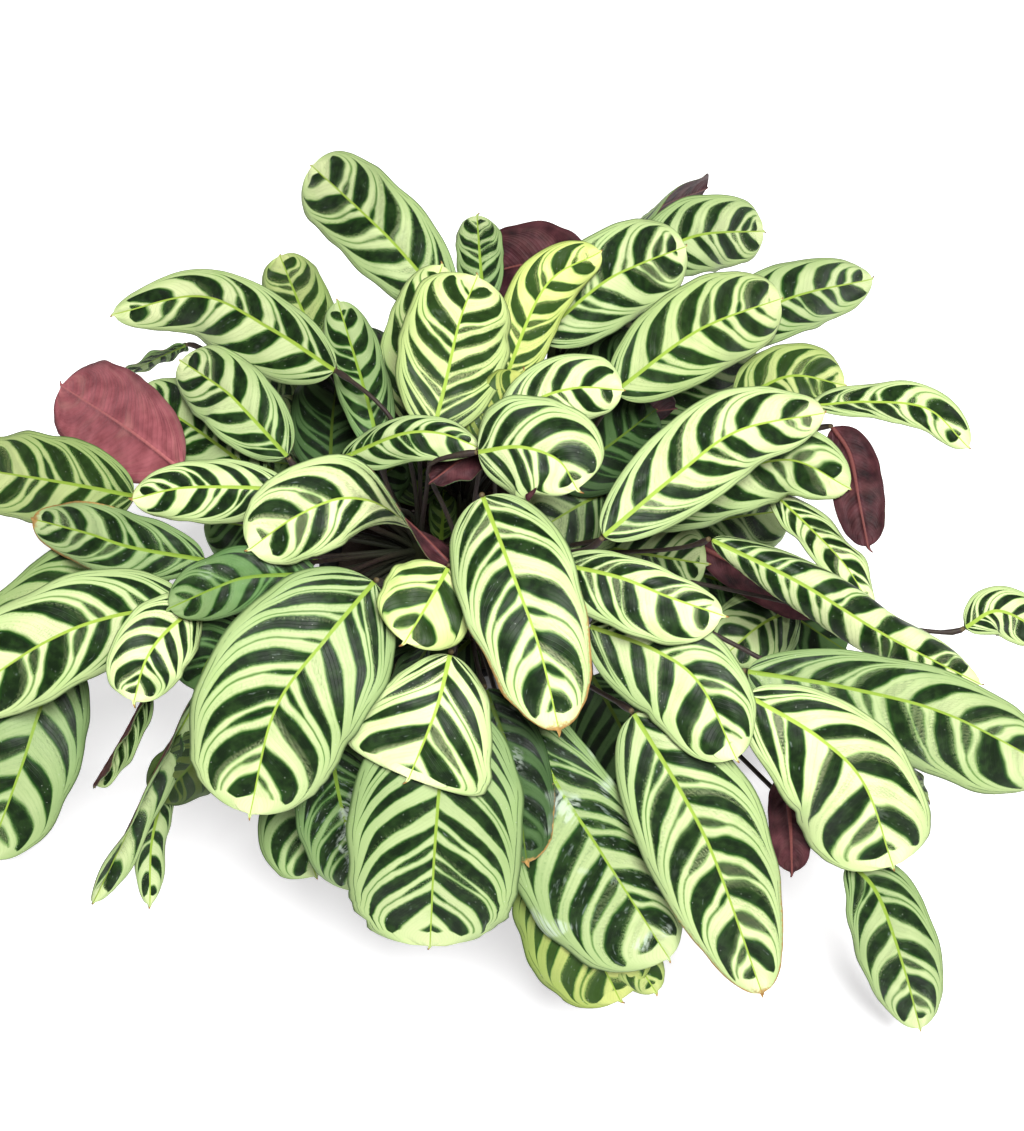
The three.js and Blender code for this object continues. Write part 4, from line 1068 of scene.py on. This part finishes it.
def paint_upper(place):
    s, t = placed_on_blade(place)
    side = t > 0
    a = abs(t)
    mottle = grain(place, 14 * MM, 3)
    fine = grain(place, 1.6 * MM, 3)
    names = ("across", "chance", "tone", "yellow", "bands", "slant", "gloss", "brown")
    across, chance, own_tone, yellow, bands, slant, gloss, brown = (given(place, n) for n in names)
    # Painted light and shade: the ground is painted paler towards the tip and darker towards the base,
    # where other leaves shade it.
    tone = own_tone + (s - 0.55) * 0.45 + (mottle - 0.5) * 0.3
    vein = veins_at(s, a, slant) + (mottle - 0.5) * 0.022
    phase = vein * (1 + CROWDING - vein * CROWDING) * bands + side * 0.45 + chance * 7

    dark, edge = dark_bands(place, s, a, side, phase, chance)
    halo = fade(edge, -0.075, -0.005) * (1 - fade(a, 0.78, 0.9))

    # Dark lines that run along the margin.
    inner_line = 1 - fade(abs(a - 0.93 + (mottle - 0.5) * 0.03), 0.001, 0.008)
    rim_line = fade(a, 0.965, 0.995)
    lines = (inner_line * fade(mottle, 0.4, 0.5)).math("MAXIMUM", rim_line) * fade(s, 0.0, 0.1)

    # The ground's greens, blended from a painted shaded copy to a painted lit copy, its fine veins, and
    # the bands' colours, lighter at their edges, with painted sheen blotches in their cores.
    shaded_ground = tint(yellow, linear(94, 130, 74), linear(112, 126, 40))
    lit = tint(yellow, linear(226, 234, 176), linear(222, 226, 132))
    ground = tint(tone, shaded_ground, lit)
    fresh = tint(yellow, linear(150, 182, 106), linear(142, 164, 46))
    greener = tint(tone, linear(74, 106, 60), fresh)
    ground = tint(fade(mottle, 0.42, 0.8) * 0.4, ground, greener)
    ground = tint(fade(a, 0.35, 1.0) * 0.6, ground, greener)
    hair = (vein * bands * 9).math("FRACT")
    veins = 1 - fade(abs(hair - 0.5), 0.0, 0.12)
    ground = tint(veins * 0.2, ground, linear(84, 122, 54))
    ground = tint(halo * 0.82, ground, tint(tone, linear(56, 92, 40), linear(70, 124, 24)))
    sheen = grain(place, 5 * MM, 3)
    core = tint(fade(sheen, 0.35, 0.7), linear(14, 30, 9), linear(31, 53, 20))
    core = tint(yellow * 0.6, core, linear(60, 88, 30))
    band = tint(fade(edge, 0.0, 0.085), linear(26, 64, 16), core)
    colour = tint(dark.math("MAXIMUM", lines * 0.75), ground, band)

    # The midrib, the dust specks that lie on the leaf, painted highlights on the bands in streaks and
    # broad patches, painted shade over leaves in shadow, and the scorched margin.
    rib_half = (1 - s) * 0.85 * MM + 0.28 * MM
    rib = 1 - fade(across / rib_half, 0.75, 1.15)
    colour = tint(rib, colour, tint(tone, linear(108, 138, 46), linear(160, 186, 74)))
    dust = place.node("TexVoronoi", {}, {"Vector": place, "Scale": 1 / (2.6 * MM)})
    specks = (1 - fade(dust, 0.05, 0.09)) * (mottle > 0.5)
    along_veins = place.node("CombineXYZ", {}, {0: vein * 55, 1: t * 7, 2: chance * 50})
    streaks = place.node("TexNoise", {}, {"Vector": along_veins, "Scale": 1, "Detail": 4})
    glints = fade(streaks + gloss * 0.1, 0.66, 0.78) * dark
    colour = tint(glints * 0.42, colour, linear(132, 148, 138))
    sheen_patches = fade(grain(place, 22 * MM, 2) + gloss * 0.14, 0.68, 0.76) * gloss
    colour = tint(sheen_patches * fade(streaks, 0.4, 0.58) * 0.62, colour, linear(198, 212, 196))
    colour = tint(specks * 0.75, colour, linear(190, 198, 184))
    shaded = fade(own_tone, 0.0, -1.0)
    colour = tint(shaded, colour, linear(12, 18, 12))
    scorched = fade(brown + (fine - 0.5) * 0.5, 0.35, 0.6)
    colour = tint(scorched, colour, tint(fine, linear(120, 78, 40), linear(196, 160, 96)))
    height = veins * 0.4 + fine * 0.35 - dark * 0.25
    return {
        "Base Color": colour,
        "Roughness": 0.48 + fine * 0.14 + specks * 0.3 + scorched * 0.3 - dark * 0.1,
        "Specular IOR Level": 0.16,
        "Normal": bumps(height, 0.45, 0.3 * MM),
    }


def paint_under(place):
    s, t = placed_on_blade(place)
    a = abs(t)
    mottle = grain(place, 9 * MM, 4)
    velvet = grain(place, 0.9 * MM, 2)
    names = ("across", "chance", "bands", "slant", "blush")
    across, chance, bands, slant, blush = (given(place, name) for name in names)
    vein = veins_at(s, a, slant)
    hair = (vein * bands * 6 + (mottle - 0.5) * 0.8).math("FRACT")
    veins = 1 - fade(abs(hair - 0.5), 0.02, 0.3)
    # Painted shade and painted light: a shaded and a lit copy of the maroon underside, blended by the
    # leaf's own number.
    underside_in_shade = tint(mottle, linear(17, 6, 8), linear(35, 14, 19))
    underside_in_light = tint(mottle, linear(126, 56, 62), linear(184, 110, 116))
    colour = tint(blush + (mottle - 0.5) * 0.5, underside_in_shade, underside_in_light)
    # Painted sheen: broad lighter streaks along the side veins, and darker ones between them.
    along_veins = place.node("CombineXYZ", {}, {0: vein * 6, 1: a * 0.8, 2: chance * 50})
    sheen_bars = place.node("TexNoise", {}, {"Vector": along_veins, "Scale": 1, "Detail": 3})
    colour = tint(fade(sheen_bars, 0.48, 0.68) * blush * 0.35, colour, linear(182, 132, 122))
    colour = tint(fade(sheen_bars, 0.5, 0.34) * 0.2, colour, linear(66, 24, 40))
    colour = tint(veins * 0.07, colour, linear(34, 10, 18))
    colour = tint(fade(a, 0.8, 0.99) * 0.5, colour, linear(74, 36, 42))
    rib = 1 - fade(across / ((1 - s) * 0.55 * MM + 0.3 * MM), 0.7, 1.1)
    colour = tint(rib, colour, tint(blush, linear(96, 52, 46), linear(176, 104, 104)))
    return {
        "Base Color": colour,
        "Roughness": 0.5 + velvet * 0.25,
        "Specular IOR Level": 0.2,
        "Normal": bumps(veins * 0.6 + velvet * 0.4, 0.5, 0.3 * MM),
    }


def paint_margin(place):
    worn = grain(place, 3 * MM, 3)
    return {
        "Base Color": tint(fade(worn, 0.4, 0.65), linear(56, 82, 42), linear(92, 66, 44)),
        "Roughness": 0.5 + worn * 0.3,
    }


def rough(s, t, along, over, salt):
    """Soft random ups and downs over a blade, from -1 to 1."""
    return np.array([noise.noise((along * x, over * y, salt)) for x, y in zip(s, t)])


def grid_places(mesh, rows):
    """Where the points of a flat grid lie on a blade: along it, across it, and out along the
    tip's point. Rows are closer at both ends, and strips are closer at the midrib."""
    flat = np.array([vert.co for vert in mesh.verts])
    row = np.rint((flat[:, 0] + 1) / 2 * rows)
    last = rows - TAIL_ROWS
    u = np.minimum(row / last, 1)
    s = 0.45 * u + 0.55 * (1 - np.cos(math.pi * u)) / 2
    tail = np.maximum(row - last, 0) / TAIL_ROWS
    return s, -flat[:, 1] * (0.62 + 0.38 * flat[:, 1] ** 2), tail


def rib_swell(across):
    """1 on the midrib, and less beside it."""
    return np.exp(-((across / MIDRIB_WIDTH) ** 2))


def relief(leaf, s, t, across, slant, salt):
    """How far the upper face stands over the middle of the sheet: the midrib's groove, pleats
    along the side veins, and slow buckles."""
    pleat = np.sin(2 * math.pi * veins_at(s, np.abs(t), slant) * leaf["bands"] * PLEATS_PER_BAND)
    pleat *= np.clip(3 - 3.4 * np.abs(t), 0, 1)
    lift = BLADE_SHEET / 2 - GROOVE_DEPTH * rib_swell(across)
    lift += pleat * PLEAT_DEPTH * np.clip(across / (3 * MM), 0, 1)
    return lift + rough(s, t, 4, 2.2, salt + 9) * BUCKLE * np.clip(across / (8 * MM), 0, 1)


def uneven(leaf, s, t, salt):
    """How far across each point lies when the margin wanders, and is torn towards the tip."""
    wander = MARGIN_WANDER * rough(s, np.sign(t), 7, 3, salt)
    torn = TEAR_DEPTH * leaf["ragged"] * rough(s, t, 22, 9, salt + 20) * np.clip(4 * s - 2.8, 0, 1)
    return t * (1 + (wander + torn) * np.abs(t) ** 3)


def pointed(leaf, points, tail, chance):
    """A blade's points, with the last rows drawn out into its hooked tip."""
    tip = blade_points(leaf, np.ones(3), np.array((-1, 0, 1)), 0)
    along = unit(tip[1] - midrib_points(leaf, TAIL_HEADING_FROM)[0])
    hook = unit(tip[2] - tip[0]) * chance.uniform(-0.5, 0.5)
    reach = TAIL_LENGTH * chance.uniform(0.6, 1.2)
    bent = along * tail[:, None] + hook * (tail ** 2)[:, None]
    narrow = np.where(tail > 0, 1 - tail * 0.9, 1)[:, None]
    return np.where(tail[:, None] > 0, tip[1] + (points - tip[1]) * narrow + bent * reach, points)


def blade(leaf, rows, strips):
    """A blade's upper face as a mesh, with its pattern's coordinates and the leaf's own numbers."""
    chance = random.Random(leaf["name"])
    salt = chance.uniform(0, 100)
    mesh = bmesh.new()
    bmesh.ops.create_grid(mesh, x_segments=rows, y_segments=strips, size=1)
    s, t, tail = grid_places(mesh, rows)
    across = np.abs(t) * half_width(leaf, s)
    length = gaps(midrib_points(leaf, *np.linspace(0, 1, LENGTH_STATIONS))).sum()
    slant = VEIN_LEAN * leaf["width"] * MM / 2 / length
    lift = relief(leaf, s, t, across, slant, salt)
    points = blade_points(leaf, s, uneven(leaf, s, t, salt), lift)
    for vert, point in zip(mesh.verts, pointed(leaf, points, tail, chance)):
        vert.co = point
    scorched = np.abs(t) ** 14 * np.clip(2 * s - 0.5, 0, 1) + s ** 20
    marks = {name: leaf[name] for name in ("tone", "yellow", "bands", "gloss", "blush")}
    marks.update(across=across, chance=chance.random(), slant=slant)
    marks["brown"] = np.clip(tail * 0.9 + leaf["brown"] * scorched, 0, 1)
    for name, values in marks.items():
        layer = mesh.verts.layers.float.new(name)
        for vert, value in zip(mesh.verts, np.broadcast_to(values, len(s))):
            vert[layer] = value
    depth = BLADE_SHEET + MIDRIB_DEPTH * (1 - 0.8 * s) * rib_swell(across)
    thickness = mesh.verts.layers.deform.verify()
    for vert, value in zip(mesh.verts, depth / (BLADE_SHEET + MIDRIB_DEPTH)):
        vert[thickness][0] = value
    places = mesh.loops.layers.uv.new("blade")
    for face in mesh.faces:
        for corner in face.loops:
            i = corner.vert.index
            corner[places].uv = (s[i], (t[i] + 1) / 2)
    return mesh


def thickened(made):
    """The sheet below the upper face, with its midrib standing out."""
    made.vertex_groups.new(name="depth")
    sheet = made.modifiers.new("sheet", "SOLIDIFY")
    sheet.thickness = BLADE_SHEET + MIDRIB_DEPTH
    sheet.offset = -1
    sheet.vertex_group = "depth"
    sheet.material_offset = 1
    sheet.material_offset_rim = 2


paints = {"blade_upper": paint_upper, "blade_under": paint_under, "blade_margin": paint_margin}
leaf_finishes = [finish(name, paint) for name, paint in paints.items()]
for each in LEAVES:
    mesh = blade(each, rows=56, strips=26)
    thickened(piece(each["name"] + "_blade", mesh, leaf_finishes, [each["name"]]))
for side in ("back", "left", "centre", "right", "front"):
    whole = bmesh.new()
    for each in TUCKED:
        if each["name"].startswith("tucked_" + side):
            join(whole, blade(each, rows=40, strips=18))
    thickened(piece("tucked_leaves_" + side, whole, leaf_finishes))


# Floor and light: a white floor, one broad soft light above the camera's side, and an even sky.
FLOOR_HALF = 6
SKY_STRENGTH = 0.18


def paint_floor(place):
    return {
        "Base Color": linear(250, 250, 250),
        "Roughness": 0.9,
        "Emission Color": linear(255, 255, 255),
        "Emission Strength": 0.55,
    }


mesh = bmesh.new()
bmesh.ops.create_grid(mesh, x_segments=1, y_segments=1, size=FLOOR_HALF)
floor = shown("floor", mesh, [finish("white_floor", paint_floor)])


def soft_light(name, size, power, place, aim):
    lamp = bpy.data.lights.new(name, "AREA")
    lamp.shape = "DISK"
    lamp.size = size
    lamp.energy = power
    made = bpy.data.objects.new(name, lamp)
    made.location = place
    made.rotation_euler = (Vector(aim) - Vector(place)).to_track_quat("-Z", "Y").to_euler()
    bpy.context.scene.collection.objects.link(made)


soft_light("soft_light", size=0.9, power=50, place=(0.3, -0.5, 1.7), aim=(0, 0, 0.15))
world = bpy.data.worlds.new("sky")
world.use_nodes = True
sky = world.node_tree.nodes["Background"].inputs
sky["Color"].default_value = (1, 1, 1, 1)
sky["Strength"].default_value = SKY_STRENGTH
bpy.context.scene.world = world
bpy.context.scene.view_settings.view_transform = "Standard"
